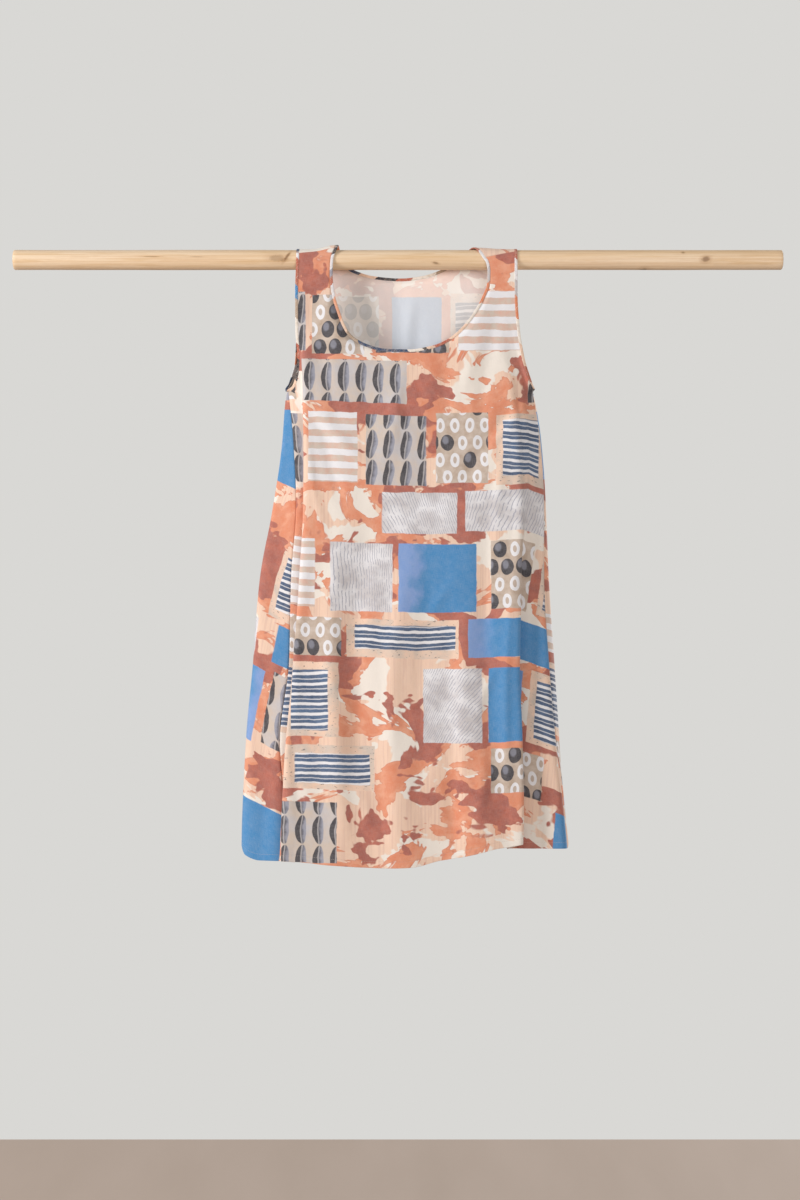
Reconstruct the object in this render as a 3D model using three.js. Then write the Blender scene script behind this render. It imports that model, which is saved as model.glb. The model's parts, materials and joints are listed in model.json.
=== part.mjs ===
// A sleeveless A-line midi dress hanging over a round wooden rod, in millimetres.
// +X is to the right and +Z up as seen from the front, and +Y runs away from the viewer.
// The origin is the middle of the rod's axis.
//
// Each panel is one wall of cloth. A point of it has two coordinates: a column, which runs from
// the left edge to the right edge, and a drop, the length of cloth below the rod's axis. A drop
// below zero lies over the rod. The tables give the panel's cross-section at a few drops.

import * as THREE from "three";

const ROD_DIAMETER = 35;
const ROD_LENGTH = 1344;
const ROD_CHAMFER = 1.5;
const ROD_SIDES = 48;

const CLOTH = 1.2; // thickness of the panels' wall
const HEM_CLOTH = 2.2; // thickness where the hem is turned up twice
const HEM_WIDTH = 12;
const SEAM_GAP = 0.3; // between pieces that are sewn together
const ROD_GAP = 0.5; // between the straps and the rod
const BINDING_WIDTH = 5;
const BINDING_PROUD = 0.6; // how far the binding stands out past the panel's outer face

const WRAP_RADIUS = ROD_DIAMETER / 2 + ROD_GAP + CLOTH / 2; // of the wall's middle over the rod
const OVER_ROD = Math.PI * WRAP_RADIUS; // cloth from the rod's front to its back
const BASE_DROP = 230; // where the armholes end and the side seams begin
const SKIRT_ROWS = 16;
const STEP_IN = [0, 0.07, 0.18, 0.34, 0.54, 0.76, 1]; // the yoke's rows, from its edge to the neck
const WAVE_GROWTH = 700; // length of skirt over which the soft folds grow to their full depth
const HANDLE = 0.36; // length of a curve's handles, as a share of the stretch it crosses
const FOLD_TURNS = [0.26, 0.72]; // depths of a fold's two turns between the middle and the under layer

const mix = (a, b, share) => a + (b - a) * share;
const radians = (degrees) => (degrees * Math.PI) / 180;
const clamp = (value) => Math.min(1, Math.max(0, value));
const ease = (value) => clamp(value) ** 2 * (3 - 2 * clamp(value));

// The panels' edges: where they lie and the cloth's direction there in degrees, from +X towards
// +Y. First the armholes, then the side seams that the two panels share.
const EDGE_NAMES = ["drop", "leftX", "leftY", "leftHeading", "rightX", "rightY", "rightHeading"];
const FRONT_ARMHOLE_ROWS = [
  [0, -173, -18.6, 0, 204, -18.6, 0],
  [60, -175, -19, 0, 204, -19, 0],
  [120, -175, -17, -5, 208, -17, 5],
  [175, -172, -10, -10, 217, -14, 20],
  [205, -175, -8, -12, 226, -12, 40],
  [220, -179.5, -6.3, -20, 232, -8.5, 65],
  [227, -184.5, -3.2, -30, 235.5, -4.5, 78],
  [230, -192, 2, -35, 236, 2, 85],
];
const BACK_ARMHOLE_ROWS = [
  [0, -173, 18.6, 0, 204, 18.6, 0],
  [60, -174, 18.6, 0, 205, 18.6, 0],
  [120, -175, 18.5, 10, 206, 18.5, -10],
  [175, -177.5, 17, 40, 216, 17, -40],
  [205, -186, 13.5, 75, 226, 14.5, -65],
  [220, -192, 9.5, 95, 232, 11.5, -80],
  [227, -194.5, 5.8, 125, 235, 8, -88],
  [230, -192, 2, 145, 236, 2, -95],
];
const SIDE_SEAM_ROWS = [
  [230, -192, 2, -35, 236, 2, 85],
  [320, -183, -2, -15, 250, 0, 60],
  [430, -178, -6, -8, 256, -2, 45],
  [560, -187, -8, -5, 256, -4, 40],
  [700, -190, -9, -5, 264, -6, 45],
  [840, -206, -11, -4, 276, -6, 55],
  [960, -198, -14, -2, 290, -4, 65],
  [1066, -200, -15, -2, 300, -2, 70],
];

// Cross-sections of the front between its edges. At a fold the cloth turns by turn degrees at
// the fold line, runs back under the middle by tuck, and comes out again at the depth under. A
// tuck below zero is an open wave.
const FRONT_NAMES = [
  "drop", "leftFold", "leftTuck", "leftTurn", "middle", "under", "rightFold", "rightTuck", "rightTurn",
];
const FRONT_ROWS = [
  [0, -130, -20, 0, -18.6, -18.6, 160, -20, 0],
  [60, -135, -18, 0, -19, -19, 163, -18, 0],
  [120, -152, -10, 3, -19.8, -18, 175, -14, 3],
  [175, -167.5, -1.5, 35, -20.8, -13, 193, -10, 18],
  [205, -166, -1, 75, -21.4, -9, 201, -12, 32],
  [230, -165, -2, 85, -22, -6, 204, -14, 45],
  [320, -165, 6, 90, -24, -6, 214, -13, 50],
  [430, -165, 10, 90, -26, -9, 219, -6, 65],
  [560, -171, 13, 90, -28, -11, 214, 6, 90],
  [700, -184, 16, 90, -30, -12, 211, 15, 90],
  [840, -194, 19, 90, -32, -14, 217, 21, 90],
  [960, -201, 24, 90, -34, -15, 218, 25, 90],
  [1066, -206, 27, 90, -36, -16, 216, 28, 90],
];

// Cross-sections of the back between its edges. It comes round to the front at the turns.
const BACK_NAMES = [
  "drop", "leftTurnX", "leftTurnY", "leftTurn", "middle", "rightTurnX", "rightTurnY", "rightTurn",
];
const BACK_ROWS = [
  [0, -150, 18.6, 0, 18.6, 182, 18.6, 0],
  [60, -155, 18.8, 0, 18.9, 186, 18.8, 0],
  [120, -164, 19.2, 3, 19.3, 195, 19.2, -3],
  [175, -171, 19, 15, 19.6, 207, 19, -15],
  [205, -181, 17.8, 35, 19.8, 221, 18, -35],
  [220, -189, 14.8, 65, 19.9, 229.5, 15.5, -55],
  [230, -195, 8.5, 85, 20, 236, 10, -80],
  [320, -203, 7, 90, 22, 251, 8, -90],
  [430, -220, 8, 90, 24, 259, 9, -90],
  [560, -242, 8, 90, 25, 264, 9, -90],
  [700, -254.5, 8, 90, 26, 270.5, 10, -90],
  [840, -267, 8, 90, 28, 280, 11, -90],
  [960, -272, 9, 90, 30, 292, 12, -90],
  [1066, -275.5, 10, 90, 32, 303.5, 12, -90],
];

// Soft vertical folds between the two sides: where each lies, as a share of the way across, and
// how far it stands out at the hem. They fade out towards the top of the skirt.
const FRONT_WAVES = [
  { at: 0.06, out: 0 },
  { at: 0.2, out: 2.5 },
  { at: 0.36, out: -2.5 },
  { at: 0.52, out: 3.5 },
  { at: 0.68, out: -3 },
  { at: 0.83, out: 3 },
  { at: 0.94, out: 0 },
];
const BACK_WAVES = [
  { at: 0.06, out: 0 },
  { at: 0.19, out: -9 },
  { at: 0.31, out: 9 },
  { at: 0.44, out: -7 },
  { at: 0.56, out: 7 },
  { at: 0.69, out: -10 },
  { at: 0.82, out: 8 },
  { at: 0.94, out: 0 },
];

// The neck edges. stretch runs over the left strap from 0 to 1, down its side to 2, round the
// scoop to 3, up the right side to 4 and over the right strap to 5.
const NECK_NAMES = ["stretch", "x", "drop"];
const FRONT_NECK_ROWS = [
  [0, -109, -19],
  [1, -116.5, 0],
  [1.33, -118, 30],
  [1.67, -114, 64],
  [2, -104, 98],
  [2.12, -88, 132],
  [2.23, -57, 153],
  [2.35, -20, 162],
  [2.48, 20, 163],
  [2.61, 62, 156],
  [2.74, 98, 138],
  [2.87, 127, 108],
  [3, 149, 72],
  [3.33, 159, 45],
  [3.67, 160, 22],
  [4, 156, 3],
  [5, 152, -1],
];
const BACK_NECK_ROWS = [
  [0, -109, 19 - OVER_ROD],
  [0.3, -108, -29],
  [0.7, -105, -12],
  [1, -98, 2],
  [2, -88, 14],
  [2.24, -47, 29],
  [2.53, 5, 33.5],
  [2.76, 45, 29],
  [3, 84, 15],
  [4, 104, 2],
  [4.3, 122, -12],
  [4.6, 134, -29],
  [5, 152, 1 - OVER_ROD],
];

// How far down each armhole edge the rays of the yoke start, on the same stretches.
const RAY_NAMES = ["stretch", "drop"];
const FRONT_RAY_ROWS = [
  [0, -10], [1, 0], [1.3, 80], [1.6, 165], [1.8, 212], [1.9, 225], [2, BASE_DROP],
  [3, BASE_DROP], [3.1, 225], [3.2, 212], [3.4, 165], [3.7, 80], [4, 2], [5, -14],
];
const BACK_RAY_ROWS = [
  [0, 10 - OVER_ROD], [1, 0], [1.3, 80], [1.6, 165], [1.8, 212], [1.9, 225], [2, BASE_DROP],
  [3, BASE_DROP], [3.1, 225], [3.2, 212], [3.4, 165], [3.7, 80], [4, 0], [5, 14 - OVER_ROD],
];

// The hems: how long each column of the panel is.
const HEM_NAMES = ["column", "drop"];
const FRONT_HEM_ROWS = [
  [0, 1050], [7, 1051], [11, 1048], [15, 1049], [18, 1054.5], [22.4, 1060], [24.4, 1058.5],
  [26.7, 1047], [28.6, 1040], [31.8, 1026], [37, 1019.5], [41, 1028], [48, 1029],
];
const BACK_HEM_ROWS = [
  [0, 1050], [3, 1050], [5.5, 1041], [7, 1025], [11, 1026], [18, 1037], [26, 1040],
  [34, 1030], [39, 1022], [43, 1021], [46, 1029],
];

// How far the straps stand off the rod's top at their inner edges.
const STRAP_LIFTS = [
  { outerX: -150, innerX: -109, lift: 7 },
  { outerX: 185, innerX: 140, lift: 2.5 },
];

// The named values of a table at any place between its rows, on a smooth curve through them
// that never swings past them.
function readTable(names, rows, at) {
  const last = rows.length - 2;
  let row = rows.findIndex((next) => next[0] > at) - 1;
  if (row < 0) row = at < rows[0][0] ? 0 : last;
  const step = rows[row + 1][0] - rows[row][0];
  const share = clamp((at - rows[row][0]) / step);
  const rise = (i, k) => (rows[i + 1][k] - rows[i][k]) / (rows[i + 1][0] - rows[i][0]);
  const slope = (i, k) => {
    if (i === 0 || i === rows.length - 1) return rise(Math.min(i, last), k);
    const before = rise(i - 1, k);
    const after = rise(i, k);
    return before * after <= 0 ? 0 : (2 * before * after) / (before + after);
  };
  const value = (k) => {
    const bend = share * (1 - share) * step;
    const start = slope(row, k) - rise(row, k);
    const end = slope(row + 1, k) - rise(row, k);
    return mix(rows[row][k], rows[row + 1][k], share) + bend * (start * (1 - share) - end * share);
  };
  return Object.fromEntries(names.map((name, k) => [name, value(k)]));
}

// A station of a cross-section: a point, the cloth's direction there, and how many columns lie
// between it and the station before.
const station = (x, y, heading, columns) => ({ x, y, heading: radians(heading), columns });

// The stations where a panel ends, drawn back along the cloth by half the gap of the seam. turned
// is 180 below the armholes on the back, whose cloth runs the other way from the seam.
function edgeStations(armholeRows, turned, drop, lastColumns) {
  const below = drop >= BASE_DROP;
  const e = readTable(EDGE_NAMES, below ? SIDE_SEAM_ROWS : armholeRows, drop);
  const end = (x, y, heading, columns, way) => {
    const towards = heading + (below ? turned : 0);
    const back = (way * SEAM_GAP) / 2;
    const dx = back * Math.cos(radians(towards));
    const dy = back * Math.sin(radians(towards));
    return station(x + dx, y + dy, towards, columns);
  };
  return [
    end(e.leftX, e.leftY, e.leftHeading, 0, 1),
    end(e.rightX, e.rightY, e.rightHeading, lastColumns, -1),
  ];
}

const waveGrowth = (drop) => ease((drop - BASE_DROP) / WAVE_GROWTH);

function frontStations(drop) {
  const s = readTable(FRONT_NAMES, FRONT_ROWS, drop);
  const [left, right] = edgeStations(FRONT_ARMHOLE_ROWS, 0, drop, 3);
  const [outerTurnY, innerTurnY] = FOLD_TURNS.map((share) => mix(s.middle, s.under, share));
  const leftTuckX = s.leftFold + s.leftTuck;
  const rightTuckX = s.rightFold - s.rightTuck;
  const across = (share) => mix(s.leftFold, s.rightFold, share);
  const waves = FRONT_WAVES.map(({ at, out }, i) =>
    station(across(at), s.middle - out * waveGrowth(drop), 0, i ? 3 : 4),
  );
  const aside = (edge, tuckX, columns) => ({
    x: mix(edge.x, tuckX, 0.5),
    y: mix(edge.y, s.under, 0.7),
    heading: 0.3 * edge.heading,
    columns,
  });
  return [
    left,
    aside(left, leftTuckX, 3),
    station(leftTuckX, innerTurnY, -s.leftTurn, 4),
    station(s.leftFold, outerTurnY, -s.leftTurn, 4),
    ...waves,
    station(s.rightFold, outerTurnY, s.rightTurn, 4),
    station(rightTuckX, innerTurnY, s.rightTurn, 4),
    aside(right, rightTuckX, 4),
    right,
  ];
}

function backStations(drop) {
  const s = readTable(BACK_NAMES, BACK_ROWS, drop);
  const [left, right] = edgeStations(BACK_ARMHOLE_ROWS, 180, drop, 3);
  const across = (share) => mix(s.leftTurnX, s.rightTurnX, share);
  const waves = BACK_WAVES.map(({ at, out }) =>
    station(across(at), s.middle + out * waveGrowth(drop), 0, 4),
  );
  const strip = {
    x: mix(left.x, s.leftTurnX, 0.55),
    y: mix(left.y, s.leftTurnY, 0.35),
    heading: left.heading,
    columns: 3,
  };
  return [
    left,
    strip,
    station(s.leftTurnX, s.leftTurnY, s.leftTurn, 4),
    ...waves,
    station(s.rightTurnX, s.rightTurnY, s.rightTurn, 4),
    right,
  ];
}

// The point of a cross-section at a column, on the curve that joins its stations.
function sectionPoint(stations, column) {
  let end = 1;
  let start = 0;
  while (end < stations.length - 1 && column > start + stations[end].columns) {
    start += stations[end].columns;
    end += 1;
  }
  const a = stations[end - 1];
  const b = stations[end];
  const t = clamp((column - start) / b.columns);
  const reach = HANDLE * Math.hypot(b.x - a.x, b.y - a.y);
  const along = (from, handleA, handleB, to) =>
    (1 - t) ** 3 * from + 3 * (1 - t) ** 2 * t * handleA + 3 * (1 - t) * t ** 2 * handleB + t ** 3 * to;
  return {
    x: along(a.x, a.x + reach * Math.cos(a.heading), b.x - reach * Math.cos(b.heading), b.x),
    y: along(a.y, a.y + reach * Math.sin(a.heading), b.y - reach * Math.sin(b.heading), b.y),
  };
}

// How far the cloth over the rod stands off it, most at the top of a strap's inner edge.
function liftOffRod(x, angle) {
  const strap = STRAP_LIFTS[x < 0 ? 0 : 1];
  const inwards = (x - strap.outerX) / (strap.innerX - strap.outerX);
  return strap.lift * ease(inwards) * Math.sin(angle) ** 2;
}

const FRONT = {
  stationsAt: frontStations,
  facing: -1, // the outer face looks towards -Y
  columns: 48,
  rays: [5, 10, 48, 10, 4], // rays of the yoke on each stretch of the neck
  neck: (stretch) => readTable(NECK_NAMES, FRONT_NECK_ROWS, stretch),
  edgeDrop: (stretch) => readTable(RAY_NAMES, FRONT_RAY_ROWS, stretch).drop,
  hemDrop: (column) => readTable(HEM_NAMES, FRONT_HEM_ROWS, column).drop,
};
const BACK = {
  stationsAt: backStations,
  facing: 1,
  columns: 46,
  rays: [13, 10, 46, 10, 15],
  neck: (stretch) => readTable(NECK_NAMES, BACK_NECK_ROWS, stretch),
  edgeDrop: (stretch) => readTable(RAY_NAMES, BACK_RAY_ROWS, stretch).drop,
  hemDrop: (column) => readTable(HEM_NAMES, BACK_HEM_ROWS, column).drop,
};

// The middle of a panel's wall at a column and a drop.
function clothPoint(panel, column, drop) {
  const { x, y } = sectionPoint(panel.stationsAt(Math.max(0, drop)), column);
  if (drop >= 0) return new THREE.Vector3(x, y, -drop);
  const angle = -drop / WRAP_RADIUS;
  const radius = WRAP_RADIUS + liftOffRod(x, angle);
  return new THREE.Vector3(x, panel.facing * radius * Math.cos(angle), radius * Math.sin(angle));
}

// The column where a panel reaches x at a drop in the yoke.
function columnAt(panel, x, drop) {
  const stations = panel.stationsAt(Math.max(0, drop));
  let low = 0;
  let high = panel.columns;
  for (let i = 0; i < 24; i += 1) {
    const middle = (low + high) / 2;
    if (sectionPoint(stations, middle).x < x) low = middle;
    else high = middle;
  }
  return (low + high) / 2;
}

// The neck stretch that each ray of the yoke starts from.
function rayStretches(panel) {
  const found = [0];
  panel.rays.forEach((count, stretch) => {
    for (let i = 1; i <= count; i += 1) found.push(stretch + i / count);
  });
  return found;
}

// The points of one ray of the yoke, from the panel's outer edge in to the neck.
function rayPoints(panel, stretch) {
  const neck = panel.neck(stretch);
  const onStrap = stretch < 1 || stretch > 4;
  const atEnd = stretch === 0 || stretch === 5;
  const seam = atEnd ? SEAM_GAP / 2 : 0;
  const neckColumn = columnAt(panel, neck.x, neck.drop);
  const onBase = clamp(stretch - 2) * panel.columns;
  const edgeDrop = panel.edgeDrop(stretch);
  const edgeX = clothPoint(panel, onBase, edgeDrop).x;
  return STEP_IN.map((share) => {
    const drop = mix(edgeDrop, neck.drop, share);
    const column = onStrap
      ? columnAt(panel, mix(edgeX, neck.x, share), drop)
      : mix(onBase, neckColumn, share);
    return clothPoint(panel, column, drop + seam);
  });
}

// The way from a point of an armhole's edge into its panel: across, and down where the cloth hangs.
function intoPanel(panel, point, column, way) {
  const stations = panel.stationsAt(Math.max(0, -point.z));
  const from = sectionPoint(stations, column);
  const to = sectionPoint(stations, column + 0.1 * way);
  const across = new THREE.Vector3(to.x - from.x, to.y - from.y, 0).normalize();
  return point.z < 0 ? across.setZ(-1) : across;
}

// A panel as a sheet: its points, its four-sided faces, and the rims that bindings are sewn to.
function panelSheet(panel) {
  const points = [];
  const faces = [];
  const thickness = [];
  const add = (point, thick) => thickness.push(thick) && points.push(point) - 1;
  const join = (a, b) => {
    for (let i = 1; i < a.length; i += 1) faces.push([a[i - 1], a[i], b[i], b[i - 1]]);
  };

  const stretches = rayStretches(panel);
  const rays = stretches.map((stretch) => rayPoints(panel, stretch).map((p) => add(p, CLOTH)));
  rays.slice(1).forEach((ray, i) => join(rays[i], ray));

  const firstBase = panel.rays[0] + panel.rays[1];
  const baseRays = rays.slice(firstBase, firstBase + panel.columns + 1);
  const skirt = [baseRays.map((ray) => ray[0])];
  for (let row = 1; row <= SKIRT_ROWS + 1; row += 1) {
    const inHem = row > SKIRT_ROWS;
    skirt.push(
      skirt[0].map((_, column) => {
        const end = panel.hemDrop(column);
        const share = row / SKIRT_ROWS;
        const drop = inHem ? end : mix(BASE_DROP, end - HEM_WIDTH, share);
        return add(clothPoint(panel, column, drop), row >= SKIRT_ROWS ? HEM_CLOTH : CLOTH);
      }),
    );
  }
  skirt.slice(1).forEach((row, i) => join(skirt[i], row));

  const seen = (line, behind) =>
    line.map((edge, k) => ({ edge, inwards: points[behind[k]].clone().sub(points[edge]) }));
  const rim = (line, column, way) =>
    line.map((edge) => ({ edge, inwards: intoPanel(panel, points[edge], column, way) }));
  const column = (i) => skirt.map((row) => row.at(i));
  const leftEdge = rays.slice(0, firstBase + 1).map((ray) => ray[0]);
  const rightEdge = rays.slice(firstBase + panel.columns).map((ray) => ray[0]);
  const at = (lines, i) => lines.map((line) => line.at(i));
  return {
    points,
    thickness,
    faces: panel.facing < 0 ? faces.map((f) => [...f].reverse()) : faces,
    neck: seen(at(rays, -1), at(rays, -2)),
    armholes: [rim(leftEdge, 0, 1), rim(rightEdge, panel.columns, -1)],
    seams: [
      seen(rays[0], rays[1]),
      seen(rays.at(-1), rays.at(-2)),
      seen(column(0), column(1)),
      seen(column(-1), column(-2)),
    ],
  };
}

const triangles = (faces) => faces.flatMap(([a, b, c, d]) => [a, b, c, a, c, d]);

function geometryOf(points, faces) {
  const geometry = new THREE.BufferGeometry().setFromPoints(points);
  geometry.setIndex(triangles(faces));
  geometry.computeVertexNormals();
  return geometry;
}

function normalsOf(points, faces) {
  const normals = geometryOf(points, faces).getAttribute("normal");
  return points.map((_, i) => new THREE.Vector3().fromBufferAttribute(normals, i));
}

// A sheet given its thickness: an outer face, an inner face and a rim along every open edge.
function wallGeometry(sheet, normals) {
  const count = sheet.points.length;
  const moved = (way) =>
    sheet.points.map((p, i) => p.clone().addScaledVector(normals[i], (way * sheet.thickness[i]) / 2));
  const inner = sheet.faces.map((face) => [...face].reverse().map((i) => i + count));
  const edges = new Map();
  sheet.faces.forEach((face) => {
    face.forEach((from, i) => {
      const to = face[(i + 1) % face.length];
      if (!edges.delete(`${to},${from}`)) edges.set(`${from},${to}`, [from, to]);
    });
  });
  const rim = [...edges.values()].map(([from, to]) => [to, from, from + count, to + count]);
  return geometryOf([...moved(1), ...moved(-1)], [...sheet.faces, ...inner, ...rim]);
}

// The rim of two panels as one closed loop of points with their normals. Where the panels meet
// at a seam, the two points are one, halfway.
function rimLoop(firstRim, secondRim) {
  const take = (made, rim) =>
    rim.map(({ edge }) => ({ point: made.sheet.points[edge], normal: made.normals[edge] }));
  const a = take(front, firstRim);
  const b = take(back, [...secondRim].reverse());
  const halfway = (p, q) => ({
    point: p.point.clone().lerp(q.point, 0.5),
    normal: p.normal.clone().add(q.normal).normalize(),
  });
  return [halfway(b.at(-1), a[0]), ...a.slice(1, -1), halfway(a.at(-1), b[0]), ...b.slice(1, -1)];
}

// A strip of binding along a loop, from the seam out past the panels' edge.
function bindingGeometry(loop, way) {
  const inside = -CLOTH / 2;
  const outside = CLOTH / 2 + BINDING_PROUD;
  const corners = [
    [SEAM_GAP, inside],
    [SEAM_GAP, outside],
    [SEAM_GAP + BINDING_WIDTH, mix(inside, outside, 0.85)],
    [SEAM_GAP + BINDING_WIDTH, mix(inside, outside, 0.15)],
  ];
  const count = corners.length;
  const size = loop.length;
  const points = loop.flatMap(({ point, normal }, i) => {
    const before = loop[(i + size - 1) % size].point;
    const after = loop[(i + 1) % size].point;
    const out = after.clone().sub(before).cross(normal).normalize().multiplyScalar(way);
    return corners.map(([past, up]) =>
      point.clone().addScaledVector(out, past).addScaledVector(normal, up),
    );
  });
  const faces = loop.flatMap((_, i) =>
    corners.map((__, k) => {
      const next = (i + 1) % size;
      const turn = (k + 1) % count;
      const face = [i * count + k, i * count + turn, next * count + turn, next * count + k];
      return way > 0 ? face : face.reverse();
    }),
  );
  return geometryOf(points, faces);
}

function rodGeometry() {
  const radius = ROD_DIAMETER / 2;
  const half = ROD_LENGTH / 2;
  const profile = [
    [0, -half],
    [radius - ROD_CHAMFER, -half],
    [radius, -half + ROD_CHAMFER],
    [radius, half - ROD_CHAMFER],
    [radius - ROD_CHAMFER, half],
    [0, half],
  ].map(([x, y]) => new THREE.Vector2(x, y));
  return new THREE.LatheGeometry(profile, ROD_SIDES).rotateZ(-Math.PI / 2);
}

const material = (color, roughness) =>
  new THREE.MeshStandardMaterial({ color, roughness, metalness: 0, side: THREE.DoubleSide });
const cotton = material("#dda286", 0.85);
const binding = material("#5b6b80", 0.85);
const wood = material("#dcbb8a", 0.6);

function named(name, geometry, look) {
  const mesh = new THREE.Mesh(geometry, look);
  mesh.name = name;
  return mesh;
}

// Turns the normals along an edge square to the edge and to the cloth behind it.
function squareNormals({ sheet, normals }, edge) {
  const at = (i) => sheet.points[i];
  const squares = edge.map((spot, k) => {
    const before = at((edge[k - 1] ?? spot).edge);
    const after = at((edge[k + 1] ?? spot).edge);
    return after.clone().sub(before).cross(spot.inwards).normalize();
  });
  const agree = edge.reduce((sum, spot, k) => sum + squares[k].dot(normals[spot.edge]), 0);
  edge.forEach((spot, k) => normals[spot.edge].copy(squares[k].multiplyScalar(Math.sign(agree))));
}

// Two edges that are sewn together get the same normals, so that their rims stay parallel.
function shareNormals(firstEdge, secondEdge) {
  firstEdge.forEach(({ edge }, k) => {
    const first = front.normals[edge];
    const second = back.normals[secondEdge[k].edge];
    const both = first.clone().add(second).normalize();
    first.copy(both);
    second.copy(both);
  });
}

function finishedPanel(panel) {
  const sheet = panelSheet(panel);
  const made = { sheet, normals: normalsOf(sheet.points, sheet.faces) };
  [sheet.neck, ...sheet.armholes, ...sheet.seams].forEach((edge) => squareNormals(made, edge));
  return made;
}

const front = finishedPanel(FRONT);
const back = finishedPanel(BACK);
front.sheet.seams.forEach((edge, i) => shareNormals(edge, back.sheet.seams[i]));
const neck = rimLoop(front.sheet.neck, back.sheet.neck);
const [leftArmhole, rightArmhole] = front.sheet.armholes.map((rim, i) =>
  rimLoop(rim, back.sheet.armholes[i]),
);

const dress = new THREE.Group();
dress.name = "dress_on_rod";
dress.add(
  named("rod", rodGeometry(), wood),
  named("front_panel", wallGeometry(front.sheet, front.normals), cotton),
  named("back_panel", wallGeometry(back.sheet, back.normals), cotton),
  named("neck_binding", bindingGeometry(neck, -1), binding),
  named("left_armhole_binding", bindingGeometry(leftArmhole, 1), binding),
  named("right_armhole_binding", bindingGeometry(rightArmhole, 1), binding),
);

export default dress;
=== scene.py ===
# A sleeveless A-line midi dress of thin printed cloth, hanging over a round wooden rod.
# The frame is the CAD model's: metres, +X to the right and +Z up as seen from the front, +Y away
# from the viewer, and the origin in the middle of the rod's axis.
#
# A point of a panel has a column, from its left edge to its right edge, and a drop, the length
# of cloth below the rod's axis. The tables are in millimetres and degrees.

import json
import math
from dataclasses import dataclass
from functools import partialmethod
from types import SimpleNamespace

import bpy
import numpy as np
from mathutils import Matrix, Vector

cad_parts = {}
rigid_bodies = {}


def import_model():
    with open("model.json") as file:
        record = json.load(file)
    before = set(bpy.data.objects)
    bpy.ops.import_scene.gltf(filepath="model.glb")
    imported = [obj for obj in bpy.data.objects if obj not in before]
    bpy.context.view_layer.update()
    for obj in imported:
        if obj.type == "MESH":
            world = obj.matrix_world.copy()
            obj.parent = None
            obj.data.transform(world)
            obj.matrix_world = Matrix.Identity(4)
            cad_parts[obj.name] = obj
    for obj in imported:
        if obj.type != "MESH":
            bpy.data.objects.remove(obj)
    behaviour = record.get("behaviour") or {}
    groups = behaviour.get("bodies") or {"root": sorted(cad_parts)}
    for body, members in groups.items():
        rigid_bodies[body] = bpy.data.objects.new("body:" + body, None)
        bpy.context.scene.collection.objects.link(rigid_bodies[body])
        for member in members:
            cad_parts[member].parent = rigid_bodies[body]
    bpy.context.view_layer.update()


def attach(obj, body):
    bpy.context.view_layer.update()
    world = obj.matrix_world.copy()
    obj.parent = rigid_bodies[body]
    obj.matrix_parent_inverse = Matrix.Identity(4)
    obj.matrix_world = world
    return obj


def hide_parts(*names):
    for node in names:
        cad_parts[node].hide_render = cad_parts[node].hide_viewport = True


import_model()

MM = 0.001
ROD_RADIUS = 17.5
ROD_LENGTH = 1344
CLOTH = 0.7  # thickness of the panels' cloth, with its nap
HEM_FOLD = 0.9  # how much thicker the turned-up hem is, on the inside
HEM_WIDTH = 12
HEM_STEP = 0.8  # length over which the hem's extra thickness comes in
HEM_STITCHES = 11  # height of the hem's stitches, one of HEM_HEIGHTS
EDGE_ROUND = 0.6  # height of the hem's rounded edge
EDGE_LEAST = 0.02
SEAM_GAP = 0.06  # between the panels
FAR = 999.0  # stands for a length out of a seam's or hem's reach
WRAP_RADIUS = 18.6  # of the cloth over the rod
OVER_ROD = math.pi * WRAP_RADIUS
BASE_DROP = 230  # where the armholes end and the side seams begin
WAVE_GROWTH = 700  # length over which the soft folds come to their full size
HANDLE = 0.36  # of the curve between two stations, as a share of the way between them
FOLD_TURNS = [0.26, 0.72]  # a side fold's two turns, on the way from the middle to what is under it
# shares of the way from a side edge to the fold next to it, across and in depth
FRONT_ASIDE = (0.5, 0.7)
BACK_ASIDE = (0.55, 0.35)
ASIDE_TURN = 0.3
STEP_IN = [0, 0.07, 0.18, 0.34, 0.54, 0.76, 1]  # a ray's points, from the edge to the neck
FINER = 4  # fine columns, steps and rays for each one of the tables
FINE_ROWS = 150
# the chart of flat lengths: columns for each one of the tables, drop of a row and last drop
CHART_FINER = 8
CHART_STEP = 4.0
CHART_END = 1080
CHART_INSIDE = 1.001  # keeps a place before the chart's last line
HALVINGS = 26  # in the search for a column
# rows of points in the hem, as heights above its edge
HEM_HEIGHTS = [14, 12.7, 12.1, 11.6, 11, 10.3, 8.5, 6, 3.5, 1.6, 0.6, 0.12, 0]
PRINT_AXIS = 73  # the x that the print is laid out from
PRINT_SAG = 9  # how far the print's lines hang down in the middle of the front
PRINT_SAG_WIDTH = 190
SAG_START, SAG_GROWTH = 60, 200
SLANT_GROWTH = 160
# Where the flared sides turn the cloth, its print runs at a slant: the columns where that starts
# and ends, and how far the print drops for each length across.
FRONT_SLANTS = [(7, 0, 0.12), (41, 48, 0.36)]
BACK_SLANTS = [(7, 0, -0.46), (43, 46, -0.2)]

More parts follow.
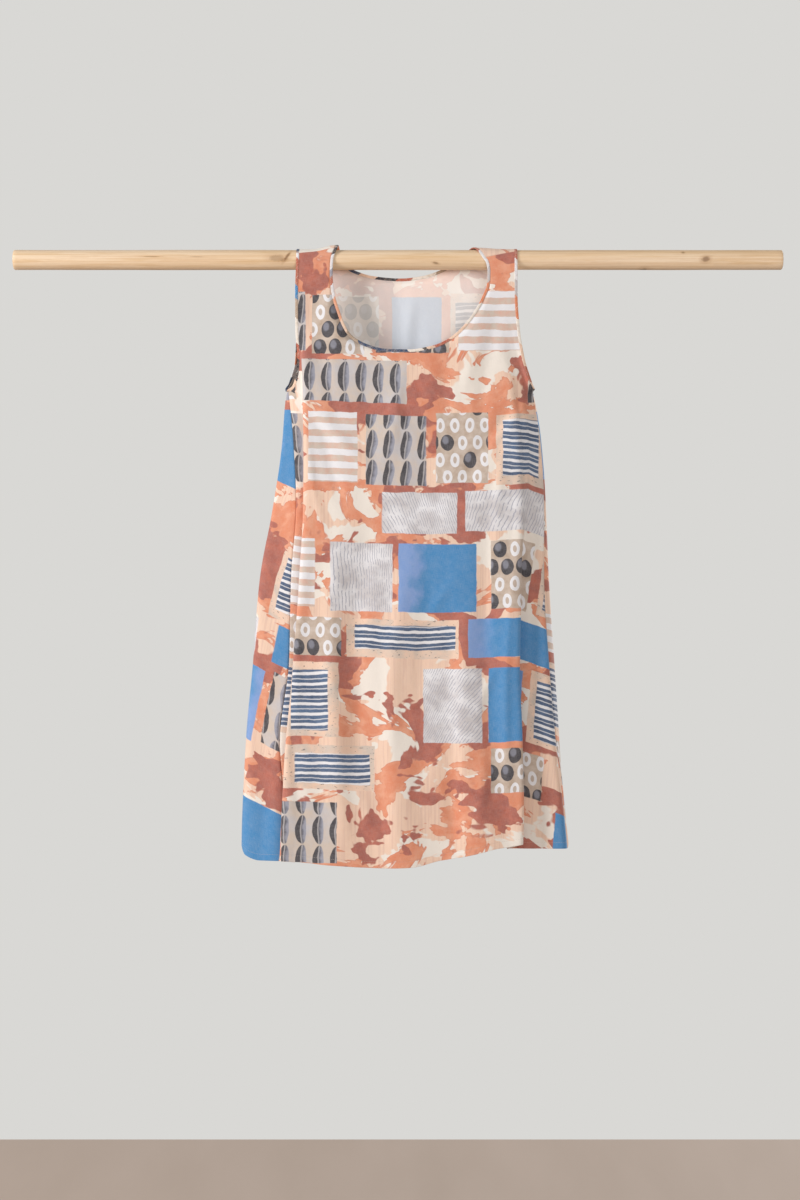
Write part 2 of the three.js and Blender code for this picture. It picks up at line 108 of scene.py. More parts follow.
# drop, then x, y and heading of the left edge, and the same of the right edge
FRONT_ARMHOLE_ROWS = [
    [0, -173, -18.6, 0, 204, -18.6, 0],
    [60, -175, -19, 0, 204, -19, 0],
    [120, -175, -17, -5, 208, -17, 5],
    [175, -172, -10, -10, 217, -14, 20],
    [205, -175, -8, -12, 226, -12, 40],
    [220, -179.5, -6.3, -20, 232, -8.5, 65],
    [227, -184.5, -3.2, -30, 235.5, -4.5, 78],
    [230, -192, 2, -35, 236, 2, 85],
]
BACK_ARMHOLE_ROWS = [
    [0, -173, 18.6, 0, 204, 18.6, 0],
    [60, -174, 18.6, 0, 205, 18.6, 0],
    [120, -175, 18.5, 10, 206, 18.5, -10],
    [175, -177.5, 17, 40, 216, 17, -40],
    [205, -186, 13.5, 75, 226, 14.5, -65],
    [220, -192, 9.5, 95, 232, 11.5, -80],
    [227, -194.5, 5.8, 125, 235, 8, -88],
    [230, -192, 2, 145, 236, 2, -95],
]
SIDE_SEAM_ROWS = [
    [230, -192, 2, -35, 236, 2, 85],
    [320, -183, -2, -15, 250, 0, 60],
    [430, -178, -6, -8, 256, -2, 45],
    [560, -187, -8, -5, 256, -4, 40],
    [700, -190, -9, -5, 264, -6, 45],
    [840, -206, -11, -4, 276, -6, 55],
    [960, -198, -14, -2, 290, -4, 65],
    [1066, -200, -15, -2, 300, -2, 70],
]
# drop, left fold, left tuck, left turn, middle, under, right fold, right tuck, right turn
FRONT_ROWS = [
    [0, -130, -20, 0, -18.6, -18.6, 160, -20, 0],
    [60, -135, -18, 0, -19, -19, 163, -18, 0],
    [120, -152, -10, 3, -19.8, -18, 175, -14, 3],
    [175, -167.5, -1.5, 35, -20.8, -13, 193, -10, 18],
    [205, -166, -1, 75, -21.4, -9, 201, -12, 32],
    [230, -165, -2, 85, -22, -6, 204, -14, 45],
    [320, -165, 6, 90, -24, -6, 214, -13, 50],
    [430, -165, 10, 90, -26, -9, 219, -6, 65],
    [560, -171, 13, 90, -28, -11, 214, 6, 90],
    [700, -184, 16, 90, -30, -12, 211, 15, 90],
    [840, -194, 19, 90, -32, -14, 217, 21, 90],
    [960, -201, 24, 90, -34, -15, 218, 25, 90],
    [1066, -206, 27, 90, -36, -16, 216, 28, 90],
]
# drop, left turn x and y and heading, middle, right turn x and y and heading
BACK_ROWS = [
    [0, -150, 18.6, 0, 18.6, 182, 18.6, 0],
    [60, -155, 18.8, 0, 18.9, 186, 18.8, 0],
    [120, -164, 19.2, 3, 19.3, 195, 19.2, -3],
    [175, -171, 19, 15, 19.6, 207, 19, -15],
    [205, -181, 17.8, 35, 19.8, 221, 18, -35],
    [220, -189, 14.8, 65, 19.9, 229.5, 15.5, -55],
    [230, -195, 8.5, 85, 20, 236, 10, -80],
    [320, -203, 7, 90, 22, 251, 8, -90],
    [430, -220, 8, 90, 24, 259, 9, -90],
    [560, -242, 8, 90, 25, 264, 9, -90],
    [700, -254.5, 8, 90, 26, 270.5, 10, -90],
    [840, -267, 8, 90, 28, 280, 11, -90],
    [960, -272, 9, 90, 30, 292, 12, -90],
    [1066, -275.5, 10, 90, 32, 303.5, 12, -90],
]
# where each soft fold lies, as a share of the way across, and how far it stands out
FRONT_WAVES = [(0.06, 0), (0.2, 2.5), (0.36, -2.5), (0.52, 3.5), (0.68, -3), (0.83, 3), (0.94, 0)]
BACK_WAVES = [
    (0.06, 0), (0.19, -9), (0.31, 9), (0.44, -7), (0.56, 7), (0.69, -10), (0.82, 8), (0.94, 0),
]
# the neck edges: stretch, x and drop
FRONT_NECK_ROWS = [
    [0, -109, -19], [1, -116.5, 0], [1.33, -118, 30], [1.67, -114, 64], [2, -104, 98],
    [2.12, -88, 132], [2.23, -57, 153], [2.35, -20, 162], [2.48, 20, 163], [2.61, 62, 156],
    [2.74, 98, 138], [2.87, 127, 108], [3, 149, 72], [3.33, 159, 45], [3.67, 160, 22],
    [4, 156, 3], [5, 152, -1],
]
BACK_NECK_ROWS = [
    [0, -109, 19 - OVER_ROD], [0.3, -108, -29], [0.7, -105, -12], [1, -98, 2], [2, -88, 14],
    [2.24, -47, 29], [2.53, 5, 33.5], [2.76, 45, 29], [3, 84, 15], [4, 104, 2],
    [4.3, 122, -12], [4.6, 134, -29], [5, 152, 1 - OVER_ROD],
]
# how far down each armhole edge the rays of the yoke start
RAY_ROWS = [
    [1, 0], [1.3, 80], [1.6, 165], [1.8, 212], [1.9, 225], [2, 230],
    [3, 230], [3.1, 225], [3.2, 212], [3.4, 165], [3.7, 80],
]
FRONT_RAY_ROWS = [[0, -10], *RAY_ROWS, [4, 2], [5, -14]]
BACK_RAY_ROWS = [[0, 10 - OVER_ROD], *RAY_ROWS, [4, 0], [5, 14 - OVER_ROD]]
# the hems: column and drop
FRONT_HEM_ROWS = [
    [0, 1050], [7, 1051], [11, 1048], [15, 1049], [18, 1054.5], [22.4, 1060], [24.4, 1058.5],
    [26.7, 1047], [28.6, 1040], [31.8, 1026], [37, 1019.5], [41, 1028], [48, 1029],
]
BACK_HEM_ROWS = [
    [0, 1050], [3, 1050], [5.5, 1041], [7, 1025], [11, 1026], [18, 1037], [26, 1040],
    [34, 1030], [39, 1022], [43, 1021], [46, 1029],
]
# how far the straps stand off the rod's top: outer x, inner x, lift
STRAP_LIFTS = [(-150, -109, 7), (185, 140, 2.5)]

# Creases, in the cloth's own coordinates: where each starts and ends, as u across from the
# print's axis and v down from the rod, its half width, and how far it stands out.
FRONT_CREASES = [
    (-226, 46, -168, 300, 12, -1.3), (-200, 60, -120, 226, 9, 0.9),
    (112, 50, 70, 330, 13, -1.4), (92, 96, 40, 240, 8, 0.8),
    (-238, 236, -96, 398, 15, 1.7), (-236, 262, -130, 372, 8, -1.2),
    (150, 236, 36, 402, 14, -1.6), (150, 258, 70, 352, 8, 1.1),
    (-58, 172, -84, 352, 11, 1.0), (8, 176, 22, 300, 9, -0.8),
    (-176, 470, -160, 1046, 17, 2.4), (-118, 430, -138, 930, 20, -2.6),
    (-62, 540, -72, 1050, 16, 2.2), (-6, 470, -22, 1052, 21, -2.3),
    (48, 600, 60, 1040, 15, 2.1), (92, 420, 112, 1016, 18, -2.5),
    (-206, 690, -150, 800, 8, 0.9), (14, 392, 74, 452, 9, 0.8),
    (-96, 764, -20, 842, 10, -0.8), (104, 700, 60, 812, 8, 0.9),
    (-170, 560, -108, 610, 7, -0.7), (-232, 300, -186, 520, 8, 0.8),
    (-214, 250, -150, 470, 9, -0.9), (128, 262, 96, 560, 10, 1.0),
    (138, 470, 128, 1010, 9, 1.3), (-252, 560, -236, 1020, 10, -1.2),
    (-90, 232, -34, 330, 8, 0.6), (24, 560, -24, 640, 9, 0.7),
    (-150, 880, -96, 1046, 12, 1.2), (20, 900, 34, 1054, 10, -1.3),
    (82, 860, 70, 1030, 11, 1.2),
]
BACK_CREASES = [
    (-150, 60, -96, 300, 14, 1.5), (160, 60, 108, 320, 14, 1.4),
    (-196, 240, -52, 412, 15, -2.2), (208, 240, 70, 398, 14, -2.0),
    (-40, 44, -60, 250, 12, -1.1), (52, 46, 66, 270, 13, 1.2),
    (-220, 470, -236, 1040, 19, 2.6), (-132, 400, -150, 1030, 22, -3.0),
    (-70, 520, -84, 1036, 17, 2.2), (-4, 440, 2, 1040, 23, -2.6),
    (64, 560, 72, 1028, 18, 2.4), (142, 420, 166, 1020, 21, -2.8),
    (214, 520, 236, 1020, 17, 2.2), (-110, 680, -30, 760, 9, 1.0),
    (120, 720, 64, 830, 10, -1.0), (-176, 320, -120, 560, 10, 1.0),
    (186, 330, 140, 600, 10, -1.1), (-200, 860, -186, 1030, 12, 1.4),
    (30, 880, 22, 1036, 12, 1.3), (108, 870, 118, 1020, 11, -1.2),
    (-30, 300, 34, 372, 9, -0.7),
]
# Long shallow undulations: across and down lengths of the wave, its phase and height
RIPPLES = [
    (118, 900, 0.4, 0.7), (83, -610, 2.1, 0.5), (57, 420, 4.4, 0.3), (210, 330, 1.3, 0.6),
    (33, -260, 0.9, 0.12), (44, 170, 5.2, 0.14),
]
CREASE_BOW = 0.035
CREASE_DEPTH = 2.5
CREASE_TAPER = 0.8
CREASE_START, CREASE_GROWTH = 24, 60  # the drop where creases begin, and the length they grow over
SIDE_CALM = 34  # how far from a side seam the creases have their full height
SEAM_DEPTH, SEAM_WIDTH = 0.85, 1.5
# the sunk line under the hem's stitches: its depth, half width and height
LINE_DEPTH, LINE_WIDTH, LINE_HEIGHT = 0.22, 0.7, 10.8


def ease(value):
    value = np.clip(value, 0, 1)
    return value * value * (3 - 2 * value)


def mix(a, b, share):
    return a + (b - a) * share


def read_table(rows, at):
    """The columns of a table at each place, on the smooth curve that never swings past its rows."""
    rows = np.array(rows, float)
    places, values = rows[:, 0], rows[:, 1:]
    rise = np.diff(values, axis=0) / np.diff(places)[:, None]
    before, after = rise[:-1], rise[1:]
    same = before * after > 0
    between = np.where(same, 2 * before * after / np.where(same, before + after, 1), 0)
    slope = np.vstack([rise[:1], between, rise[-1:]])
    at = np.asarray(at, float)
    row = np.clip(np.searchsorted(places, at, side="right") - 1, 0, len(places) - 2)
    step = places[row + 1] - places[row]
    share = np.clip((at - places[row]) / step, 0, 1)
    bend = share * (1 - share) * step
    found = []
    for k in range(values.shape[1]):
        start = slope[row, k] - rise[row, k]
        end = slope[row + 1, k] - rise[row, k]
        found.append(
            mix(values[row, k], values[row + 1, k], share) + bend * (start * (1 - share) - end * share)
        )
    return found


def edge_stations(armhole_rows, turned, drop, last_columns):
    below = drop >= BASE_DROP
    arm, side = read_table(armhole_rows, drop), read_table(SIDE_SEAM_ROWS, drop)
    lx, ly, lh, rx, ry, rh = (np.where(below, s, a) for a, s in zip(arm, side))

    def end(x, y, heading, columns, way):
        towards = np.radians(heading + np.where(below, turned, 0))
        back = way * SEAM_GAP / 2
        return (x + back * np.cos(towards), y + back * np.sin(towards), towards, columns)

    return end(lx, ly, lh, 0, 1), end(rx, ry, rh, last_columns, -1)


def front_stations(drop):
    fold_l, tuck_l, turn_l, middle, under, fold_r, tuck_r, turn_r = read_table(FRONT_ROWS, drop)
    left, right = edge_stations(FRONT_ARMHOLE_ROWS, 0, drop, 3)
    outer_y, inner_y = (mix(middle, under, share) for share in FOLD_TURNS)
    growth = ease((drop - BASE_DROP) / WAVE_GROWTH)
    flat = np.zeros_like(middle)
    waves = [
        (mix(fold_l, fold_r, at), middle - out * growth, flat, 3 if i else 4)
        for i, (at, out) in enumerate(FRONT_WAVES)
    ]

    def aside(edge, tuck_x, columns):
        across, deep = FRONT_ASIDE
        x, y, turn = edge[:3]
        return (mix(x, tuck_x, across), mix(y, under, deep), ASIDE_TURN * turn, columns)

    return [
        left,
        aside(left, fold_l + tuck_l, 3),
        (fold_l + tuck_l, inner_y, -np.radians(turn_l), 4),
        (fold_l, outer_y, -np.radians(turn_l), 4),
        *waves,
        (fold_r, outer_y, np.radians(turn_r), 4),
        (fold_r - tuck_r, inner_y, np.radians(turn_r), 4),
        aside(right, fold_r - tuck_r, 4),
        right,
    ]


def back_stations(drop):
    left_x, left_y, left_h, middle, right_x, right_y, right_h = read_table(BACK_ROWS, drop)
    left, right = edge_stations(BACK_ARMHOLE_ROWS, 180, drop, 3)
    growth = ease((drop - BASE_DROP) / WAVE_GROWTH)
    flat = np.zeros_like(middle)
    waves = [(mix(left_x, right_x, at), middle + out * growth, flat, 4) for at, out in BACK_WAVES]
    return [
        left,
        (mix(left[0], left_x, BACK_ASIDE[0]), mix(left[1], left_y, BACK_ASIDE[1]), left[2], 3),
        (left_x, left_y, np.radians(left_h), 4),
        *waves,
        (right_x, right_y, np.radians(right_h), 4),
        right,
    ]


def section_point(stations, column):
    """x and y of a cross-section at a column, on the curve that joins its stations."""
    shape = np.broadcast(column, stations[0][0]).shape
    column = np.maximum(np.broadcast_to(column, shape), 0)
    x, y = np.zeros(shape), np.zeros(shape)
    start = 0
    for a, b in zip(stations, stations[1:]):
        columns = b[3]
        here = column >= start
        t = np.clip((column - start) / columns, 0, 1)
        reach = HANDLE * np.hypot(b[0] - a[0], b[1] - a[1])
        weights = ((1 - t) ** 3, 3 * (1 - t) ** 2 * t, 3 * (1 - t) * t**2, t**3)
        for out, k, wave in ((x, 0, np.cos), (y, 1, np.sin)):
            p = (a[k], a[k] + reach * wave(a[2]), b[k] - reach * wave(b[2]), b[k])
            along = sum(w * q for w, q in zip(weights, p))
            out[here] = np.broadcast_to(along, shape)[here]
        start += columns
    return x, y


@dataclass
class Panel:
    """One panel of the dress: how its tables are read, and its points."""

    stations_at: object
    facing: int
    columns: int
    rays: list
    neck_rows: list
    edge_rows: list
    hem_rows: list
    creases: list
    seed: float
    slants: list

    def __post_init__(self):
        self.chart = self.measure()

    def measure(self):
        """Lengths of cloth across, from the left edge, for a grid of columns and drops."""
        columns = np.linspace(0, self.columns, self.columns * CHART_FINER + 1)
        drops = np.arange(0, CHART_END, CHART_STEP)
        x, y = section_point(self.stations_at(drops[None, :]), columns[:, None])
        steps = np.hypot(np.diff(x, axis=0), np.diff(y, axis=0))
        across = np.vstack([np.zeros_like(drops)[None], np.cumsum(steps, axis=0)])
        axis = np.array(
            [np.interp(PRINT_AXIS, x[:, k], across[:, k]) for k in range(len(drops))]
        )
        return columns, drops, across, axis

    def cloth(self, column, drop):
        """u, v and the distance to the nearer side edge, in flat cloth."""
        columns, drops, across, axis = self.chart
        c = np.clip(column * CHART_FINER, 0, len(columns) - CHART_INSIDE)
        d = np.clip(np.maximum(drop, 0) / CHART_STEP, 0, len(drops) - CHART_INSIDE)
        ci, di = c.astype(int), d.astype(int)
        cf, df = c - ci, d - di
        low = mix(across[ci, di], across[ci + 1, di], cf)
        high = mix(across[ci, di + 1], across[ci + 1, di + 1], cf)
        length = mix(low, high, df)
        whole = mix(across[-1, di], across[-1, di + 1], df)
        middle = mix(axis[di], axis[di + 1], df)
        return length - middle, np.asarray(drop, float), np.minimum(length, whole - length)

    def print_place(self, column, drop, u):
        """u and v on the print: it sags in the middle and slants at the flared sides."""
        below = ease((drop - BASE_DROP) / SLANT_GROWTH)
        sag = PRINT_SAG * np.exp(-((u / PRINT_SAG_WIDTH) ** 2))
        sag = sag * ease((drop - SAG_START) / SAG_GROWTH)
        v = drop - sag
        for start, end, slope in self.slants:
            from_start = (column - start) * (1 if end > start else -1) > 0
            at_start = self.cloth(np.full_like(column, float(start)), drop)[0]
            v = v - np.where(from_start, slope * (u - at_start), 0) * below
        return u, v

    def point(self, column, drop):
        column, drop = np.broadcast_arrays(np.asarray(column, float), np.asarray(drop, float))
        x, y = section_point(self.stations_at(np.maximum(0, drop)), column)
        angle = np.maximum(0, -drop) / WRAP_RADIUS
        lift = np.zeros_like(x)
        for side, (outer, inner, height) in zip((x < 0, x >= 0), STRAP_LIFTS):
            lift = np.where(side, height * ease((x - outer) / (inner - outer)), lift)
        radius = WRAP_RADIUS + lift * np.sin(angle) ** 2
        over = drop < 0
        y = np.where(over, self.facing * radius * np.cos(angle), y)
        z = np.where(over, radius * np.sin(angle), -drop)
        return np.stack([x, y, z], axis=-1)

    def column_at(self, x, drop):
        stations = self.stations_at(np.maximum(0, drop))
        low = np.zeros_like(np.asarray(x, float) + drop)
        high = low + self.columns
        for _ in range(HALVINGS):
            middle = (low + high) / 2
            less = section_point(stations, middle)[0] < x
            low, high = np.where(less, middle, low), np.where(less, high, middle)
        return (low + high) / 2


FRONT = Panel(
    front_stations, -1, 48, [5, 10, 48, 10, 4],
    FRONT_NECK_ROWS, FRONT_RAY_ROWS, FRONT_HEM_ROWS, FRONT_CREASES, 3.0, FRONT_SLANTS,
)
BACK = Panel(
    back_stations, 1, 46, [13, 10, 46, 10, 15],
    BACK_NECK_ROWS, BACK_RAY_ROWS, BACK_HEM_ROWS, BACK_CREASES, 11.0, BACK_SLANTS,
)


# A stretch counts round the yoke: 0 to 1 is the left strap, 1 to 2 the left armhole, 2 to 3 the
# yoke's base, 3 to 4 the right armhole and 4 to 5 the right strap.
LEFT_ARMHOLE = 1
YOKE_BASE = 2
RIGHT_STRAP = 4
YOKE_END = 5


def ray_stretches(panel):
    found = [0.0]
    for stretch, count in enumerate(panel.rays):
        many = count * FINER
        found += [stretch + (i + 1) / many for i in range(many)]
    return np.array(found)


def yoke_grid(panel):
    """Columns and drops of the yoke's points: one row for each ray, from the edge to the neck."""
    stretch = ray_stretches(panel)[:, None]
    places = np.linspace(0, len(STEP_IN) - 1, (len(STEP_IN) - 1) * FINER + 1)
    share = np.interp(places, range(len(STEP_IN)), STEP_IN)[None, :]
    neck_x, neck_drop = read_table(panel.neck_rows, stretch)
    edge_drop = read_table(panel.edge_rows, stretch)[0]
    neck_column = panel.column_at(neck_x, neck_drop)
    on_base = np.clip(stretch - YOKE_BASE, 0, 1) * panel.columns
    edge_x = panel.point(on_base, edge_drop)[..., 0]
    drop = mix(edge_drop, neck_drop, share)
    strap = (stretch < LEFT_ARMHOLE) | (stretch > RIGHT_STRAP)
    on_strap = panel.column_at(mix(edge_x, neck_x, share), drop)
    column = np.where(strap, on_strap, mix(on_base, neck_column, share))
    seam = np.where((stretch == 0) | (stretch == YOKE_END), SEAM_GAP / 2, 0)
    return column, drop + seam


def skirt_grid(panel):
    """Columns and drops of the skirt's points: one row for each height, from the top down."""
    column = np.linspace(0, panel.columns, panel.columns * FINER + 1)[None, :]
    end = read_table(panel.hem_rows, column)[0]
    share = np.linspace(0, 1, FINE_ROWS + 1)[:, None]
    rows = mix(BASE_DROP, end - HEM_HEIGHTS[0], share)
    hem = end - np.array(HEM_HEIGHTS[1:])[:, None]
    drop = np.vstack([rows, hem])
    height = np.vstack([end - rows, end - hem])
    return np.broadcast_to(column, drop.shape), drop, height


def creased(panel, u, v):
    """How far the creases and ripples lift the cloth off its smooth form."""
    height = np.zeros_like(u)
    for u0, v0, u1, v1, width, depth in panel.creases:
        du, dv = u1 - u0, v1 - v0
        length = math.hypot(du, dv)
        along = ((u - u0) * du + (v - v0) * dv) / length**2
        bow = CREASE_BOW * length * np.sin(math.pi * np.clip(along, 0, 1))
        aside = ((u - u0) * dv - (v - v0) * du) / length + bow
        taper = np.sin(math.pi * np.clip(along, 0, 1)) ** CREASE_TAPER
        height += CREASE_DEPTH * depth * np.exp(-((aside / width) ** 2)) * taper
    for across, down, phase, tall in RIPPLES:
        height += tall * np.sin(2 * math.pi * (u / across + v / down) + phase + panel.seed)
    return height


def crosses(points, faces):
    """The cross product of each quad's diagonals."""
    a, b, c, d = (points[faces[:, k]] for k in range(4))
    return np.cross(c - a, d - b)


def unit_rows(rows):
    length = np.linalg.norm(rows, axis=1, keepdims=True)
    return rows / np.where(length > 0, length, 1)


def vertex_normals(points, faces):
    flat = crosses(points, faces)
    normals = np.zeros_like(points)
    for k in range(4):
        np.add.at(normals, faces[:, k], flat)
    return unit_rows(normals)


class Sheet:
    """The fine mesh of a panel's middle surface, with its edges."""

    def __init__(self, panel):
        self.panel = panel
        yoke_column, yoke_drop = yoke_grid(panel)
        column, drop, height = skirt_grid(panel)
        rays, steps = yoke_column.shape
        rows, wide = drop.shape
        first = (panel.rays[0] + panel.rays[1]) * FINER
        ids = np.arange(rays * steps).reshape(rays, steps)
        base = ids[first : first + wide, 0]
        skirt = np.vstack([base, rays * steps + np.arange((rows - 1) * wide).reshape(rows - 1, wide)])
        self.column = np.concatenate([yoke_column.ravel(), column[1:].ravel()])
        self.drop = np.concatenate([yoke_drop.ravel(), drop[1:].ravel()])
        self.height = np.concatenate([np.full(rays * steps, FAR), height[1:].ravel()])
        self.faces = np.vstack([self.quads(ids), self.quads(skirt)])
        if panel.facing < 0:
            self.faces = self.faces[:, ::-1]
        self.u, self.v, self.to_side = panel.cloth(self.column, self.drop)
        self.ids, self.skirt, self.first, self.wide = ids, skirt, first, wide
        smooth = panel.point(self.column, self.drop)
        self.flat_area = np.linalg.norm(crosses(smooth, self.faces), axis=1).sum() / 2 * MM * MM
        self.points = smooth + vertex_normals(smooth, self.faces) * self.lift()[:, None]
        self.normals = vertex_normals(self.points, self.faces)

    @staticmethod
    def quads(grid):
        a, b, c, d = grid[:-1, :-1], grid[:-1, 1:], grid[1:, 1:], grid[1:, :-1]
        return np.stack([a.ravel(), b.ravel(), c.ravel(), d.ravel()], axis=1)

    def lift(self):
        below_rod = ease((self.drop - CREASE_START) / CREASE_GROWTH)
        beside = np.where(self.drop > BASE_DROP, ease(self.to_side / SIDE_CALM), 1)
        seam = np.where(self.drop >= BASE_DROP, self.to_side, FAR)
        seam[self.ids[[0, -1]]] = 0  # the shoulder seams
        groove = -SEAM_DEPTH * np.exp(-((seam / SEAM_WIDTH) ** 2))
        stitched = -LINE_DEPTH * np.exp(-(((self.height - LINE_HEIGHT) / LINE_WIDTH) ** 2))
        return creased(self.panel, self.u, self.v) * below_rod * beside + groove + stitched

    def neck_edge(self):
        return self.ids[:, -1]

    def armhole_edges(self):
        last = self.first + self.wide - 1
        return self.ids[: self.first + 1, 0], self.ids[last:, 0]

    def border(self):
        """The open edges, all the way round, as pairs of points."""
        pairs = np.vstack([self.faces[:, [k, (k + 1) % 4]] for k in range(4)])
        back = {(b, a) for a, b in pairs.tolist()}
        return np.array([p for p in pairs.tolist() if tuple(p) not in back])

    def shell(self):
        """Points, faces and each face's skin (0 outer, 1 inner, 2 rim) of the cloth's thin wall."""
        in_hem = ease((HEM_WIDTH - self.height) / HEM_STEP)
        round_off = np.sqrt(np.clip(self.height / EDGE_ROUND, EDGE_LEAST, 1))
        outer = CLOTH / 2 * round_off
        inner = (CLOTH / 2 + HEM_FOLD * in_hem) * round_off
        count = len(self.points)
        points = np.vstack(
            [self.points + self.normals * outer[:, None], self.points - self.normals * inner[:, None]]
        )
        edges = self.border()
        rim = np.stack([edges[:, 1], edges[:, 0], edges[:, 0] + count, edges[:, 1] + count], axis=1)
        faces = np.vstack([self.faces, self.faces[:, ::-1] + count, rim])
        skins = [0] * len(self.faces) + [1] * len(self.faces) + [2] * len(rim)
        return points, faces, skins


def placed(name, data):
    made = bpy.data.objects.new(name, data)
    bpy.context.scene.collection.objects.link(made)
    return made


def mesh_object(name, points, faces, uv=None, skins=None):
    """A new object from points in millimetres and a list of faces. uv is a pair in metres a point."""
    mesh = bpy.data.meshes.new(name)
    mesh.from_pydata((np.asarray(points) * MM).tolist(), [], faces)
    if uv is not None:
        layer = mesh.uv_layers.new(name="cloth")
        corners = np.zeros(len(mesh.loops), int)
        mesh.loops.foreach_get("vertex_index", corners)
        layer.data.foreach_set("uv", np.asarray(uv)[corners].astype(np.float32).ravel())
    if skins is not None:
        mesh.polygons.foreach_set("material_index", np.asarray(skins, dtype=np.int32))
    mesh.polygons.foreach_set("use_smooth", np.ones(len(mesh.polygons), bool))
    mesh.validate()
    return placed(name, mesh)


def sheet_object(name, sheet):
    points, faces, skins = sheet.shell()
    uv = np.stack(sheet.panel.print_place(sheet.column, sheet.drop, sheet.u), axis=1) * MM
    return mesh_object(name, points, faces.tolist(), np.vstack([uv, uv]), skins)


def rim_loop(first, first_edge, second, second_edge):
    """The rim of two panels as one closed loop of points and normals."""
    a, b = first.points[first_edge], second.points[second_edge][::-1]
    na, nb = first.normals[first_edge], second.normals[second_edge][::-1]
    points = np.vstack([(b[-1] + a[0])[None] / 2, a[1:-1], (a[-1] + b[0])[None] / 2, b[1:-1]])
    normals = np.vstack([(nb[-1] + na[0])[None], na[1:-1], (na[-1] + nb[0])[None], nb[1:-1]])
    return evened(points, normals)


BINDING_STEP = 3.0
LOOP_SMOOTHINGS = 2
# the binding's cross-section: how far past the panel's edge, and how far up from its middle
BINDING_PROFILE = [
    (-0.9, 0.5), (-0.5, 0.8), (0.5, 0.92), (1.9, 0.94), (3.2, 0.86), (3.9, 0.56), (4.15, 0.0),
    (3.9, -0.56), (3.2, -0.86), (1.9, -0.94), (0.5, -0.92), (-0.5, -0.8), (-0.9, -0.5),
]
# how the bindings pucker, with the length of the waves and of their beat
PUCKER, PUCKER_LENGTH, PUCKER_BEAT = 0.1, 3.1, 13.7
RUFFLE, RUFFLE_LENGTH = 0.06, 7.3


def closed(line):
    return np.vstack([line, line[:1]])


def lengths_along(points):
    return np.concatenate([[0], np.cumsum(np.linalg.norm(np.diff(points, axis=0), axis=1))])


def read_line(line, along, at):
    """The line's points, or its normals, at each length along it."""
    return np.stack([np.interp(at, along, line[:, k]) for k in range(3)], axis=-1)


def smoothed(loop):
    return (np.roll(loop, 1, 0) + 2 * loop + np.roll(loop, -1, 0)) / 4


def evened(points, normals):
    """The loop with its points at even steps."""
    along = lengths_along(closed(points))
    count = int(along[-1] / BINDING_STEP)
    places = np.arange(count) * along[-1] / count
    even, even_n = (read_line(closed(line), along, places) for line in (points, normals))
    for _ in range(LOOP_SMOOTHINGS):
        even, even_n = smoothed(even), smoothed(even_n)
    return even, unit_rows(even_n), along[-1]


def outwards(points, normals, way):
    """Unit directions away from the panels' edge, along the cloth."""
    tangent = np.roll(points, -1, 0) - np.roll(points, 1, 0)
    return unit_rows(np.cross(tangent, normals) * way)


def tube_faces(rings, sides, joined):
    """Quads between each ring of points and the next, and back to the first ring if joined."""
    i, k = np.meshgrid(np.arange(rings if joined else rings - 1), np.arange(sides), indexing="ij")
    j, m = (i + 1) % rings, (k + 1) % sides
    return np.stack([i * sides + k, i * sides + m, j * sides + m, j * sides + k], -1).reshape(-1, 4)


def binding_object(name, loop, way):
    points, normals, length = loop
    out = outwards(points, normals, way)
    count, around = len(points), len(BINDING_PROFILE)
    place = np.arange(count) * length / count
    pucker = 1 + PUCKER * np.sin(place / PUCKER_LENGTH) * np.sin(place / PUCKER_BEAT + 1)
    pucker = pucker + RUFFLE * np.sin(place / RUFFLE_LENGTH)
    rings = []
    for past, up in BINDING_PROFILE:
        rings.append(points + out * past + normals * (up * pucker)[:, None])
    verts = np.stack(rings, axis=1).reshape(-1, 3)
    faces = tube_faces(count, around, True)
    if way < 0:
        faces = faces[:, ::-1]
    past = np.array([p for p, _ in BINDING_PROFILE])
    uv = np.stack(np.broadcast_arrays(place[:, None], past[None, :]), -1).reshape(-1, 2) * MM
    return mesh_object(name, verts, faces.tolist(), uv)


STITCH_SIDES = 5
STITCH_RINGS = [(-1.0, 0.25), (-0.72, 0.8), (0.0, 1.0), (0.72, 0.8), (1.0, 0.25)]
STITCH_LENGTH = 2.2
STITCH_PITCH = 3.0
STITCH_RADIUS = 0.2
STITCH_SUNK = 0.16  # how much lower a stitch's ends are than its middle
STITCH_REACH = np.array([-0.5, 0, 0.5])  # where the line's direction is read, round the middle
# how far the bindings' stitches lie past the panel's edge, and up
BOUND_PAST, BOUND_UP = 0.35, 0.9
HEM_STITCH_UP = 0.05
TINY = 1e-9


def unit(vector):
    return vector / (np.linalg.norm(vector) + TINY)


def stitch_points(middle, run, up):
    side = unit(np.cross(run, up))
    up = np.cross(side, run)
    found = []
    for reach, share in STITCH_RINGS:
        sunk = -STITCH_SUNK * reach * reach
        centre = middle + run * reach * STITCH_LENGTH / 2 + up * sunk
        for k in range(STITCH_SIDES):
            turn = 2 * math.pi * k / STITCH_SIDES
            round_it = side * math.cos(turn) + up * math.sin(turn)
            found.append(centre + round_it * STITCH_RADIUS * share)
    return found


def stitch_faces(start):
    last = start + (len(STITCH_RINGS) - 1) * STITCH_SIDES
    found = []
    for a in range(start, last, STITCH_SIDES):
        b = a + STITCH_SIDES
        for k in range(STITCH_SIDES):
            n = (k + 1) % STITCH_SIDES
            found.append([a + k, a + n, b + n, b + k])
    found.append([start + k for k in reversed(range(STITCH_SIDES))])
    found.append([last + k for k in range(STITCH_SIDES)])
    return found


